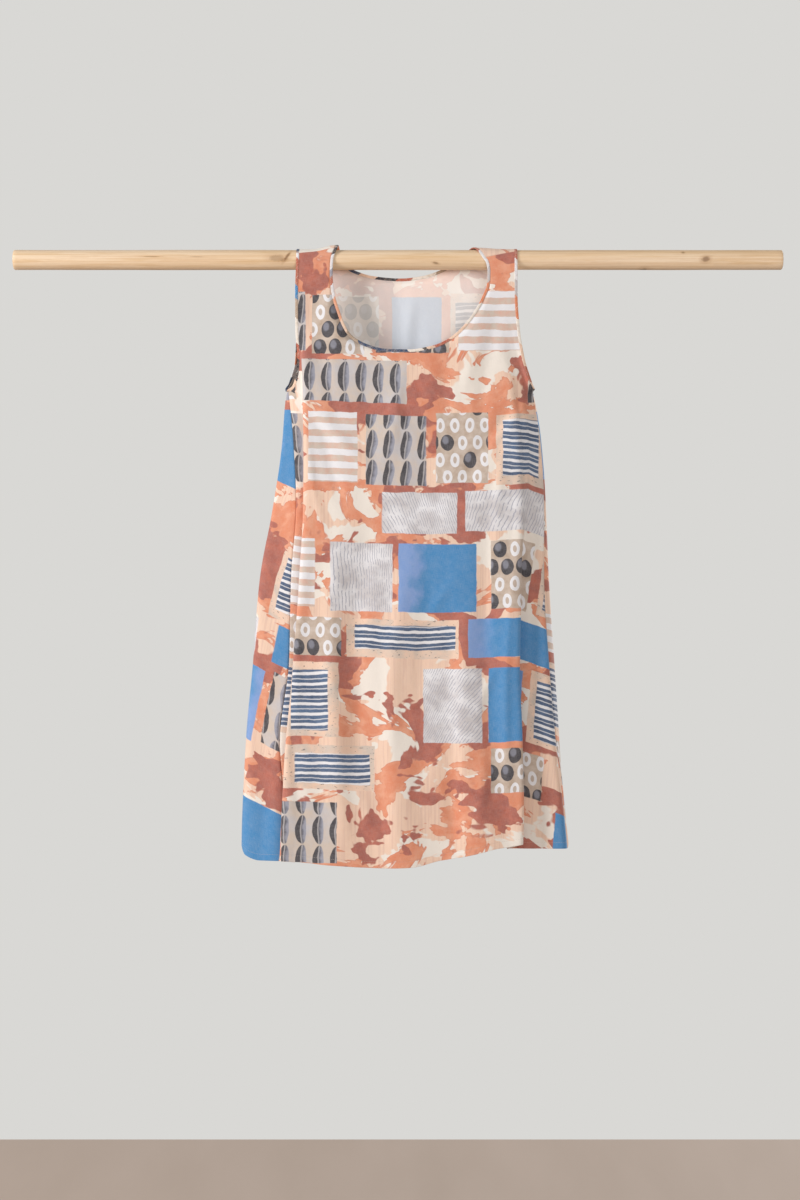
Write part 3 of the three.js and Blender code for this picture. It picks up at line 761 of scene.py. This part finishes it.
def stitches_object(name, lines):
    """Short raised stitches along lines. A line is its points, its normals and whether it closes."""
    verts, faces = [], []
    for points, normals, closes in lines:
        if closes:
            points, normals = closed(points), closed(normals)
        along = lengths_along(points)
        for place in np.arange(STITCH_PITCH / 2, along[-1] - STITCH_PITCH / 2, STITCH_PITCH):
            before, middle, after = read_line(points, along, place + STITCH_REACH)
            faces += stitch_faces(len(verts))
            verts += stitch_points(middle, unit(after - before), read_line(normals, along, place))
    return mesh_object(name, verts, faces)


ROD_SIDES = 96
ROD_RINGS = 260
# the rod's ends: how far in from the end, and the share of the radius there
ROD_END = [(0.0, 0.0), (0.0, 0.5), (0.0, 0.86), (0.3, 0.93), (1.0, 0.975), (2.2, 1.0)]
# along the rod: height, length and phase; round it: height, turns and length
ROD_UNEVEN = [(0.12, 61, 0.7), (0.08, 23, 0)]
ROD_OUT_OF_ROUND = [(0.1, 2, 190), (0.05, 3, -75)]
ROD_TRIM = 0.3  # keeps the uneven rod inside its solid
ROD_TIP = 0.001  # the least share of the radius
# knots: x, angle up round the rod from its front, half length, half height, depth and slant
KNOTS = [
    (-211, 2, 14, 6, 0.55, 0), (-198, -8, 7, 3, 0.5, 0.9), (-193, 12, 2.4, 8, 1.0, 0.65),
    (66, -27, 4.5, 2, 0.8, -1.3), (536, -4, 7, 5, 0.95, 0.2), (497, 38, 3, 2, 0.7, 0),
    (-430, 10, 16, 0.7, 0.8, 0), (-350, 9, 13, 0.6, 0.7, 0), (-390, 150, 9, 5, 0.8, 0),
    (300, 200, 10, 6, 0.8, 0.3), (-60, 100, 6, 4, 0.7, 0), (430, 260, 8, 5, 0.8, 0),
]


def rod_object():
    half = ROD_LENGTH / 2
    inner = np.linspace(-half + ROD_END[-1][0], half - ROD_END[-1][0], ROD_RINGS)
    xs = [-half + d for d, _ in ROD_END[:-1]] + inner.tolist() + [half - d for d, _ in ROD_END[-2::-1]]
    shares = [s for _, s in ROD_END[:-1]] + [1.0] * ROD_RINGS + [s for _, s in ROD_END[-2::-1]]
    turn = np.arange(ROD_SIDES) * 2 * math.pi / ROD_SIDES
    verts = []
    for x, share in zip(xs, shares):
        uneven = sum(tall * math.sin(x / long + phase) for tall, long, phase in ROD_UNEVEN)
        flat = sum(tall * np.sin(turns * turn + x / long) for tall, turns, long in ROD_OUT_OF_ROUND)
        radius = (ROD_RADIUS - ROD_TRIM + uneven + flat) * max(share, ROD_TIP)
        ring = [np.full(ROD_SIDES, x), -radius * np.cos(turn), radius * np.sin(turn)]
        verts.append(np.stack(ring, 1))
    faces = tube_faces(len(xs), ROD_SIDES, False)[:, [0, 3, 2, 1]]
    return mesh_object("pine_rod", np.vstack(verts), faces.tolist())


# The materials.


class Field:
    """A number or colour that varies over a surface."""

    def __init__(self, graph, socket):
        self.graph, self.socket = graph, socket

    def apply(self, operation, *values):
        return self.graph.math(operation, self, *values)

    __add__ = partialmethod(apply, "ADD")
    __sub__ = partialmethod(apply, "SUBTRACT")
    __mul__ = __rmul__ = partialmethod(apply, "MULTIPLY")
    __truediv__ = partialmethod(apply, "DIVIDE")
    floor = partialmethod(apply, "FLOOR")
    frac = partialmethod(apply, "FRACT")
    sin = partialmethod(apply, "SINE")
    abs = partialmethod(apply, "ABSOLUTE")

    def over(self, edge, soft):
        """1 where the field is over the edge, 0 under it, soft between."""
        return self.graph.math("MULTIPLY_ADD", self, 1 / soft, 0.5 - edge / soft, clamp=True)

    def under(self, edge, soft):
        return self.graph.math("MULTIPLY_ADD", self, -1 / soft, edge / soft + 0.5, clamp=True)

    def within(self, low, high, soft):
        return self.over(low, soft) * self.under(high, soft)


# sockets of the Mix node, by number: share, then the two colours and the colour out
MIX_SHARE, MIX_A, MIX_B, MIX_OUT = 0, 6, 7, 2


class Graph:
    def __init__(self, name, roughness, specular=0.3):
        self.material = bpy.data.materials.new(name)
        self.material.use_nodes = True
        self.tree = self.material.node_tree
        self.shader = self.tree.nodes["Principled BSDF"]
        self.shader.inputs["Roughness"].default_value = roughness
        self.shader.inputs["Specular IOR Level"].default_value = specular

    def put(self, value, socket):
        if isinstance(value, Field):
            self.tree.links.new(value.socket, socket)
        elif isinstance(value, tuple):
            socket.default_value = (*value, 1)
        else:
            socket.default_value = value

    def finish(self, colour, **inputs):
        """The material, with its colour and what else is put on the shader."""
        for name, value in {"Base Color": colour, **inputs}.items():
            self.put(value, self.shader.inputs[name])
        return self.material

    def node(self, kind, output=0, **given):
        """A new node. A name with _ first is a setting, at0 the first socket, any other a socket."""
        made = self.tree.nodes.new("ShaderNode" + kind)
        for name, value in given.items():
            if name.startswith("_"):
                setattr(made, name[1:], value)
            else:
                self.put(value, made.inputs[int(name[2:]) if name.startswith("at") else name])
        return Field(self, made.outputs[output])

    def math(self, operation, *values, clamp=False):
        given = {f"at{i}": value for i, value in enumerate(values)}
        return self.node("Math", _operation=operation, _use_clamp=clamp, **given)

    def mix(self, share, a, b):
        made = self.tree.nodes.new("ShaderNodeMix")
        made.data_type = "RGBA"
        for socket, value in ((MIX_SHARE, share), (MIX_A, a), (MIX_B, b)):
            self.put(value, made.inputs[socket])
        return Field(self, made.outputs[MIX_OUT])

    def vector(self, x, y, z=0.0):
        return self.node("CombineXYZ", at0=x, at1=y, at2=z)

    def split(self, vector, kind="SeparateXYZ"):
        made = self.tree.nodes.new("ShaderNode" + kind)
        self.put(vector, made.inputs[0])
        return [Field(self, out) for out in made.outputs[:3]]

    def noise(self, place, scale, detail=2.0, rough=0.5, bend=0.0, output="Fac"):
        return self.node(
            "TexNoise", output, Vector=place, Scale=scale, Detail=detail, Roughness=rough, Distortion=bend
        )

    def random(self, x, y):
        """Three random numbers for each whole x and y."""
        made = self.node("TexWhiteNoise", "Color", _noise_dimensions="2D", Vector=self.vector(x, y))
        return self.split(made, "SeparateColor")

    def steps(self, place, stops):
        """The colour of the last stop, a pair of place and colour, before each place."""
        made = self.tree.nodes.new("ShaderNodeValToRGB")
        made.color_ramp.interpolation = "CONSTANT"
        elements = made.color_ramp.elements
        for i, (at, colour) in enumerate(stops):
            stop = elements[i] if i < 2 else elements.new(at)
            stop.position, stop.color = at, (*colour, 1)
        self.put(place, made.inputs[0])
        return Field(self, made.outputs[0])

    def bump(self, height, distance, strength, **below):
        return self.node("Bump", Height=height, Distance=distance, Strength=strength, **below)


def linear(hexa):
    """A colour written as six digits, taken off the sRGB curve."""
    parts = [int(hexa[i : i + 2], 16) / 255 for i in (0, 2, 4)]
    return tuple(c / 12.92 if c <= 0.04045 else ((c + 0.055) / 1.055) ** 2.4 for c in parts)


RUST = linear("BE6852")
DEEP_RUST = linear("A95C4C")
CORAL = linear("E2875F")
PALE_CORAL = linear("EBA27F")
PEACH = linear("F3CFB6")
CREAM = linear("F2E8DD")
TAUPE = linear("B9A18C")
BLUE = linear("3A88C2")
PERIWINKLE = linear("7C9ED6")
NAVY = linear("31496B")
WHITE = linear("ECEAED")
CHARCOAL = linear("37333A")
GREY = linear("C9C3C4")
PINK = linear("DDB4A2")
SLATE = linear("9A9BAA")
STEEL = linear("4A678C")
PALE_TAUPE = linear("D3C2B4")

# The print's rows, charted: where each starts below the rod, how wide its patches are,
# and how far they are shifted, in metres.
PRINT_ROWS = [
    (-0.12, 0.15, 0.03), (0.052, 0.13, 0.11), (0.168, 0.19, 0.05), (0.255, 0.115, 0.02),
    (0.392, 0.165, 0.12), (0.478, 0.135, 0.07), (0.612, 0.2, 0.16), (0.694, 0.12, 0.04),
    (0.838, 0.17, 0.1), (0.93, 0.14, 0.02), (1.05, 0.16, 0.08),
]
PRINT_TOP = -0.12
PRINT_BOTTOM = 1.16
ROW_CODES = 16  # a ramp's colour holds a row's number in sixteenths
GROUND_SHIFT = 0.31  # how far the painted ground moves across for each step of a panel's seed
PRINT_DRIFT = 0.006
# half the gaps between patches, across and down, how much they vary, and how soft an edge is
PATCH_GAPS = (0.009, 0.0075)
GAP_CHANGES = (0.012, 0.01)
PATCH_EDGE = 0.0012
TICKING_PITCH = 0.0175
TICKING_BORDER = (0.022, 0.02)
OVAL_CELL = (0.026, 0.03)
LEAF_CELL = (0.03, 0.052)
BAR_PITCH = 0.022
HATCH_PITCH = 0.0052


def painted_ground(g, place, seed):
    """Ragged brushed shapes of rust, coral and peach on cream."""
    tone = g.noise(place, 46, 3, 0.6)
    u, v, _ = g.split(place)
    u = u + (seed - FRONT.seed) * GROUND_SHIFT
    a = g.noise(g.vector(u, v * 1.15), 8.5, 3.5, 0.6, 0.5)
    b = g.noise(g.vector(u + 3.7, v * 1.3 + 3.7), 9.5, 4, 0.58, 0.7)
    c = g.noise(g.vector(u + 8.1, v * 1.2 + 8.1), 9.0, 3.5, 0.55, 0.4)
    strokes = g.noise(g.vector(u * 260, v * 7), 1.0, 2)
    ground = g.mix(a.over(0.475, 0.012), CREAM, PEACH)
    ground = g.mix(strokes.over(0.54, 0.1) * a.over(0.475, 0.02) * 0.4, ground, PINK)
    coral = g.mix(tone.over(0.5, 0.3), CORAL, PALE_CORAL)
    ground = g.mix(b.over(0.515, 0.01), ground, coral)
    ground = g.mix(b.within(0.515, 0.527, 0.01) * 0.35, ground, RUST)
    ground = g.mix(b.over(0.585, 0.01) * 0.55, ground, CORAL)
    rust = g.mix(tone.over(0.52, 0.25), DEEP_RUST, RUST)
    return g.mix(c.over(0.545, 0.01), ground, rust)


def oval(x, y, wide, high, soft):
    """1 inside an oval round the middle, with its radii."""
    far = x * x * (1 / wide**2) + y * y * (1 / high**2)
    return far.under(1.0, soft)


def row_chart(g, v):
    """The place in the row at v, its number and height, and its patches' width and shift."""
    span = PRINT_BOTTOM - PRINT_TOP
    place = (v - PRINT_TOP) / span
    ends = [row[0] for row in PRINT_ROWS[1:]] + [PRINT_BOTTOM]
    starts = [(row[0] - PRINT_TOP) / span for row in PRINT_ROWS]
    talls = [(end - row[0]) / span for end, row in zip(ends, PRINT_ROWS)]
    codes = [(i + 0.5) / ROW_CODES for i in range(len(PRINT_ROWS))]
    measures = [(at, (at, tall, code)) for at, tall, code in zip(starts, talls, codes)]
    patches = [(at, (wide, shift, 0)) for at, (_, wide, shift) in zip(starts, PRINT_ROWS)]
    charted = []
    for stops in (measures, patches):
        charted += g.split(g.steps(place, stops), "SeparateColor")
    start, tall, number, wide, shift, _ = charted
    return (place - start) / tall, (number * ROW_CODES).floor(), tall * span, wide, shift


def patch_place(g, place, seed):
    """Where a point lies in its patch, in shares and in metres, with the patch's random numbers."""
    u, v, _ = g.split(place)
    du, dv, _ = g.split(g.noise(place, 30, 3, 0.6, output="Color"), "SeparateColor")
    u = u + (du - 0.5) * PRINT_DRIFT
    v = v + (dv - 0.5) * PRINT_DRIFT
    y, row, tall, wide, shift = row_chart(g, v)
    across = (u + shift + 0.014 * (u * 27.0 + row * 2.4 + seed).sin()) / wide + 20.0
    column = across.floor()
    pick, r2, r3 = g.random(column, row + seed * 7.0)
    r4, r5, r6 = g.random(column + 57.0, row + seed * 3.0)
    x, y = across.frac() - 0.5, y - 0.5
    mx, my = x * wide, y * tall
    inside = row.over(0.5, 0.1)  # the top row is plain ground
    for at, size, draw, gap, change in zip((mx, my), (wide, tall), (r2, r3), PATCH_GAPS, GAP_CHANGES):
        moved = (at + (draw - 0.5) * change).abs()
        inside = inside * moved.under(size * 0.5 - gap, PATCH_EDGE)
    return SimpleNamespace(
        u=u, v=v, x=x, mx=mx, my=my, row=row, wide=wide, tall=tall, pick=pick, r4=r4, r5=r5, r6=r6,
        inside=inside, tone=g.noise(place, 60, 3, 0.6), cloudy=g.noise(place, 22, 4, 0.6),
        fine=g.noise(place, 90, 2),
    )


def ticking(g, p):
    """Ticking stripes, navy and white, in a speckled beige border."""
    rise = p.my + p.mx * (p.r4 - 0.5) * 0.16 + (p.mx * 34.0 + p.r5 * 6.0).sin() * 0.0022
    stripe = ((rise / TICKING_PITCH + p.r5).frac() - 0.5).abs()
    band = g.mix(stripe.over(0.36, 0.06), g.mix(p.cloudy.over(0.5, 0.3), NAVY, STEEL), WHITE)
    band = g.mix(stripe.under(0.05, 0.04) * 0.75, band, WHITE)
    fleck = g.noise(g.vector(p.u, p.v * 2.2), 150, 2, 0.5, 0.5).over(0.67, 0.02)
    beige = g.mix(p.cloudy.over(0.48, 0.2), PALE_TAUPE, PEACH)
    beige = g.mix(fleck * 0.7, beige, CHARCOAL)
    side, top = TICKING_BORDER
    held = p.my.abs().under(p.tall * 0.5 - top, 0.0015)
    held = held * p.mx.abs().under(p.wide * 0.5 - side, 0.0015)
    return g.mix(held, beige, band)


def ovals_and_pebbles(g, p):
    """Staggered white ovals and dark pebbles on taupe."""
    y = p.v / OVAL_CELL[1] + p.r5
    x = p.u / OVAL_CELL[0] + (y.floor() * 0.5).frac()
    dark = g.random(x.floor() + 31.0, y.floor())[0].over(0.66, 0.001)
    x, y = x.frac() - 0.5, y.frac() - 0.5
    ring = oval(x, y, 0.32, 0.42, 0.14)
    core = oval(x, y, 0.13, 0.2, 0.4)
    pebble = oval(x, y, 0.43, 0.47, 0.1)
    gleam = oval(x + 0.12, y + 0.14, 0.2, 0.24, 0.9)
    taupe = g.mix(p.tone.over(0.5, 0.4), TAUPE, PALE_TAUPE)
    ovals = g.mix(core * 0.85, g.mix(ring, taupe, WHITE), TAUPE)
    stones = g.mix(pebble, taupe, g.mix(gleam * 0.6, CHARCOAL, SLATE))
    return g.mix(dark, ovals, stones)


def plain_blue(g, p):
    """A plain block, lighter to one side."""
    side = (p.x * 1.6 + (p.cloudy - 0.5)) * (p.r6 - 0.5) * 4.0
    return g.mix(side.over(0.5, 0.5), BLUE, PERIWINKLE)


def leaves(g, p):
    """Charcoal leaves on warm grey."""
    x = (p.u / LEAF_CELL[0] + (p.row * 0.5).frac()).frac() - 0.5
    y = (p.v / LEAF_CELL[1] + p.r6).frac() - 0.5
    bend = x + (y * 3.1 + (p.r4 - 0.5) * 3).sin() * 0.09
    leaf = oval(bend, y, 0.32, 0.48, 0.14)
    rib = bend.abs().under(0.035, 0.04) * 0.7
    lit = (bend * 2.2 + 0.5 + (p.tone - 0.5) * 0.8).over(0.72, 0.5)
    grey = g.mix(p.cloudy.over(0.5, 0.2), GREY, PALE_TAUPE)
    colour = g.mix(leaf, grey, g.mix(lit, CHARCOAL, SLATE))
    return g.mix(leaf * rib, colour, GREY)


def bars(g, p):
    """Even bars of dusty pink and white."""
    bar = ((p.my / BAR_PITCH + p.r5).frac() - 0.5).over(0, 0.05)
    return g.mix(bar, WHITE, g.mix(p.tone.over(0.5, 0.3), PINK, PALE_TAUPE))


def hatching(g, p):
    """Fine short ticks in slate on pale grey."""
    place = (p.mx + p.my * (p.r6 - 0.5) * 1.6) / HATCH_PITCH + (p.cloudy - 0.5) * 2.0
    tick = (place.frac() - 0.5).abs().under(0.11, 0.08) * p.fine.over(0.42, 0.1)
    return g.mix(tick * 0.8, g.mix(p.cloudy.over(0.5, 0.25), GREY, WHITE), SLATE)


# the patches' designs, each with the random number up to which a patch has it
DESIGNS = [
    (0.15, ticking), (0.3, ovals_and_pebbles), (0.42, plain_blue), (0.59, leaves), (0.71, bars),
    (0.765, hatching),
]


def print_colour(g, place, seed):
    """A patchwork print: brushed ground, and patches with stripes, dots, leaves and bars."""
    p = patch_place(g, place, seed)
    colour = painted_ground(g, place, seed)
    low = 0.0
    for high, design in DESIGNS:
        here = p.pick.within(low, high, 0.0001) * p.inside
        colour = g.mix(here, colour, design(g, p))
        low = high
    weft = g.noise(g.vector(p.u * 120, p.v * 1500), 1.0, 2)
    warp = g.noise(g.vector(p.u * 1500, p.v * 120), 1.0, 2)
    colour = g.mix((p.tone - 0.3) * 0.14, colour, CREAM)
    return g.mix((weft + warp).over(1.0, 0.5) * 0.1, colour, WHITE)


# The bindings' colours in turn: where each starts along the strip, in millimetres.
BINDING_RUNS = [
    (0, CHARCOAL), (14, WHITE), (42, SLATE), (55, RUST), (70, WHITE), (92, PALE_CORAL),
    (132, PEACH), (158, TAUPE), (184, NAVY), (276, CREAM), (300, CHARCOAL), (308, PEACH),
    (322, RUST), (352, PEACH), (392, CREAM), (436, CORAL), (478, GREY), (502, WHITE), (540, RUST),
    (588, BLUE), (612, TAUPE), (646, CREAM), (690, RUST), (716, CHARCOAL), (752, PEACH), (782, NAVY),
    (812, WHITE), (838, CORAL),
]
STRIP_LENGTH = 0.862  # after which the strip's colours come again
STRIP_SLANT = 0.9  # the bias: how far along each colour's edge runs for each length across


THREAD_PITCH = 0.0009
# the inside's colour, and how far the print is taken towards it: the cloth's reverse is paler than its
# face, and this is paler still, painted light that stands in for light coming through the thin cloth into
# the shade between the panels
REVERSE_AND_PAINTED_LIGHT = linear("FFFBF7")
REVERSE_AND_PAINTED_LIGHT_SHARE = 0.66


def cloth_graph(name):
    """A cloth's graph, the place on it, u and v, and the bump of its threads."""
    g = Graph(name, roughness=0.78, specular=0.25)
    g.shader.inputs["Sheen Weight"].default_value = 0.25
    g.shader.inputs["Sheen Roughness"].default_value = 0.5
    place = g.node("UVMap", "UV", _uv_map="cloth")
    u, v, _ = g.split(place)
    warp, weft = ((along * 2 * math.pi / THREAD_PITCH).sin() for along in (u, v))
    return g, place, u, v, g.bump(warp * weft, 0.00004, 0.5)


def cloth_material(name, seed, paler_with_painted_light):
    g, place, _, _, woven = cloth_graph(name)
    colour = print_colour(g, place, seed)
    # paler on the inside, as the reverse of the print is, and paler still as painted light
    if paler_with_painted_light:
        colour = g.mix(paler_with_painted_light, colour, REVERSE_AND_PAINTED_LIGHT)
    worn = g.bump(g.noise(place, 85, 4, 0.6), 0.0016, 0.35, Normal=woven)
    return g.finish(colour, Normal=worn, Roughness=g.noise(place, 300, 2) * 0.1 + 0.73)


def binding_material(name, start):
    """A narrow strip of the same cloth, cut on the bias, from a place along its chart."""
    g, place, u, v, woven = cloth_graph(name)
    ragged = (g.noise(place, 420, 3) - 0.5) * 0.007
    along = ((u + v * STRIP_SLANT + ragged + start) / STRIP_LENGTH).frac()
    colour = g.steps(along, [(at * MM / STRIP_LENGTH, colour) for at, colour in BINDING_RUNS])
    streaks = g.noise(g.vector((u + v) * 60, (v - u) * 900), 1.0, 2)
    colour = g.mix(streaks.over(0.6, 0.1) * 0.45, colour, CREAM)
    colour = g.mix(g.noise(place, 150, 3).over(0.56, 0.2) * 0.3, colour, TAUPE)
    return g.finish(colour, Normal=g.bump(g.noise(place, 260, 3), 0.0006, 0.5, Normal=woven))


def thread_material():
    g = Graph("thread", roughness=0.6)
    place = g.node("TexCoord", "Object")
    return g.finish(g.mix(g.noise(place, 900, 2).over(0.5, 0.4), linear("D9CFC6"), linear("C3B8AF")))


# layers of the wood's figure: scale along and across, detail, roughness and bend
PINE_LAYERS = [
    (6, 190, 4, 0.6, 0.4), (2.2, 45, 3, 0.5, 0.6), (3.4, 520, 3, 0.55, 0.3), (24, 900, 2, 0.6, 0),
]
ROD_END_GRAIN = 0.6713  # how far from the middle the rod's end grain starts, in metres


def pine_material():
    g = Graph("pine", roughness=0.55, specular=0.4)
    place = g.node("TexCoord", "Object")
    x, y, z = g.split(place)
    grain, broad, lines, pores = (
        g.noise(g.vector(x * along, y * across, z * across), 1.0, *kind)
        for along, across, *kind in PINE_LAYERS
    )
    colour = g.mix(broad.over(0.5, 0.35), linear("F5DBBC"), linear("EDCCA5"))
    colour = g.mix(grain.over(0.57, 0.1) * 0.5, colour, linear("DDB684"))
    colour = g.mix(lines.over(0.55, 0.12) * 0.3, colour, linear("CE9F6E"))
    colour = g.mix(pores.over(0.64, 0.06) * 0.35, colour, linear("D0A878"))
    ragged = (g.noise(place, 240, 3, 0.6) - 0.5) * 1.3
    for at, turn, long, high, depth, slant in KNOTS:
        angle = math.radians(turn)
        up = math.sin(angle)
        middle = (at * MM, -ROD_RADIUS * math.cos(angle) * MM, ROD_RADIUS * up * MM)
        away_x = (x - middle[0] - (z - middle[2]) * slant) / (long * MM)
        away_y = (y - middle[1]) / (high * 2 * MM)
        away_z = (z - middle[2]) / (high * MM)
        far = away_x * away_x + away_y * away_y + away_z * away_z + ragged
        colour = g.mix(far.under(2.6, 2.6) * 0.35 * depth, colour, linear("B98A5C"))
        colour = g.mix(far.under(0.8, 0.9) * 0.7 * depth, colour, linear("7E5A3A"))
    ends = x.abs().over(ROD_END_GRAIN, 0.0006)
    colour = g.mix(ends * 0.6, colour, linear("A98459"))
    return g.finish(colour, Normal=g.bump(grain, 0.0006, 0.3), Roughness=grain * 0.2 + 0.45)


# The pieces.

front = Sheet(FRONT)
back = Sheet(BACK)
def finish_cloth(piece, node, slot, *materials):
    for material in materials:
        piece.data.materials.append(material)
    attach(piece, "root")
    if node:
        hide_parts(node)
    return piece


def panel_cloth(side, sheet):
    """A panel's shell, printed outside and at its rim, with the print paler on the inside: paler as the
    cloth's reverse is, and paler still as painted light that stands in for light coming through the thin
    cloth into the shade between the panels.
    """
    face = cloth_material(f"print_{side}", sheet.panel.seed, 0)
    inside = cloth_material(f"reverse_painted_light_{side}", sheet.panel.seed, REVERSE_AND_PAINTED_LIGHT_SHARE)
    piece = sheet_object(f"{side}_cloth", sheet)
    return finish_cloth(piece, f"{side}_panel", "cloth", face, inside, face)


front_cloth = panel_cloth("front", front)
back_cloth = panel_cloth("back", back)

neck_loop = rim_loop(front, front.neck_edge(), back, back.neck_edge())
arm_loops = [
    rim_loop(front, a, back, b) for a, b in zip(front.armhole_edges(), back.armhole_edges())
]
# each bound edge: its name, loop, way round, and where on the strip it starts
BOUND = [
    ("neck", neck_loop, -1, 0),
    ("left_armhole", arm_loops[0], 1, 0.53),
    ("right_armhole", arm_loops[1], 1, 0.3),
]
neck_bind, left_bind, right_bind = (
    finish_cloth(
        binding_object(f"{edge}_bind", loop, way),
        f"{edge}_binding", "binding", binding_material(f"{edge}_bound", start),
    )
    for edge, loop, way, start in BOUND
)


def bind_stitches(loop, way):
    points, normals, _ = loop
    out = outwards(points, normals, way)
    return points + out * BOUND_PAST + normals * BOUND_UP, normals, True


def hem_stitches(sheet):
    ids = sheet.skirt[HEM_HEIGHTS.index(HEM_STITCHES) - len(HEM_HEIGHTS)]
    points, normals = sheet.points[ids], sheet.normals[ids]
    return points + normals * (CLOTH / 2 + HEM_STITCH_UP), normals, False


thread = thread_material()
bound_lines = [bind_stitches(loop, way) for _, loop, way, _ in BOUND]
edge_stitches = stitches_object("edge_stitches", bound_lines)
front_hem_stitches = stitches_object("front_hem_stitches", [hem_stitches(front)])
back_hem_stitches = stitches_object("back_hem_stitches", [hem_stitches(back)])
finish_cloth(edge_stitches, None, "binding", thread)
finish_cloth(front_hem_stitches, None, "cloth", thread)
finish_cloth(back_hem_stitches, None, "cloth", thread)

rod = rod_object()
rod.data.materials.append(pine_material())
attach(rod, "root")
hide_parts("rod")

# The setting: a pale floor, a pale even surround, soft lights and the camera.

FLOOR_Z = -1620
FLOOR_SIZE = (9000, 4600)
FLOOR_FAR = 300
SURROUND_LIGHT = 0.43
# more sockets of the Mix node: its two numbers and the number out
MIX_LOW, MIX_HIGH, MIX_NUMBER = 2, 3, 0
# lights: name, place and size in metres, and watts
LIGHTS = [
    ("key", (-3.8, -1.85, 0.4), (1.2, 1.7), 150),
    ("fill", (1.7, -3.5, 0.4), (2.0, 2.0), 49),
    ("behind", (2.6, 2.7, 0.9), (1.6, 1.8), 112),
]
LIGHT_AIM = Vector((0, 0, -0.55))
CAMERA_PLACE = (0.0035, -3.5, -0.595)
CAMERA_LENS = 60


def floor_object():
    half, near = FLOOR_SIZE[0] / 2, FLOOR_FAR - FLOOR_SIZE[1]
    corners = [(-half, near), (half, near), (half, FLOOR_FAR), (-half, FLOOR_FAR)]
    made = mesh_object("floor", [(x, y, FLOOR_Z) for x, y in corners], [(0, 1, 2, 3)])
    g = Graph("pale_floor", roughness=0.7)
    x, y, z = g.split(g.node("TexCoord", "Object"))
    tone = g.noise(g.vector(x * 3, y * 0.6, z), 3.0, 3)
    made.data.materials.append(g.finish(g.mix(tone, linear("B7A69A"), linear("AB9A8D"))))


def surround():
    world = bpy.data.worlds.new("surround")
    bpy.context.scene.world = world
    world.use_nodes = True
    tree = world.node_tree
    background = tree.nodes["Background"]
    background.inputs["Color"].default_value = (*linear("D9D8D5"), 1)
    seen = tree.nodes.new("ShaderNodeLightPath").outputs["Is Camera Ray"]
    strength = tree.nodes.new("ShaderNodeMix")
    strength.inputs[MIX_LOW].default_value = SURROUND_LIGHT
    strength.inputs[MIX_HIGH].default_value = 1.0
    tree.links.new(seen, strength.inputs[MIX_SHARE])
    tree.links.new(strength.outputs[MIX_NUMBER], background.inputs["Strength"])


def area_light(name, place, size, watts):
    light = bpy.data.lights.new(name, "AREA")
    light.shape, light.size, light.size_y = "RECTANGLE", *size
    light.energy = watts
    made = placed(name, light)
    made.location = place
    aim = LIGHT_AIM - Vector(place)
    made.rotation_mode = "QUATERNION"
    made.rotation_quaternion = aim.to_track_quat("-Z", "Y")


def camera():
    data = bpy.data.cameras.new("camera")
    data.lens = CAMERA_LENS
    made = placed("camera", data)
    made.location = CAMERA_PLACE
    made.rotation_euler = (math.pi / 2, 0, 0)
    bpy.context.scene.camera = made


floor_object()
surround()
for light in LIGHTS:
    area_light(*light)
camera()
bpy.context.scene.view_settings.view_transform = "Standard"
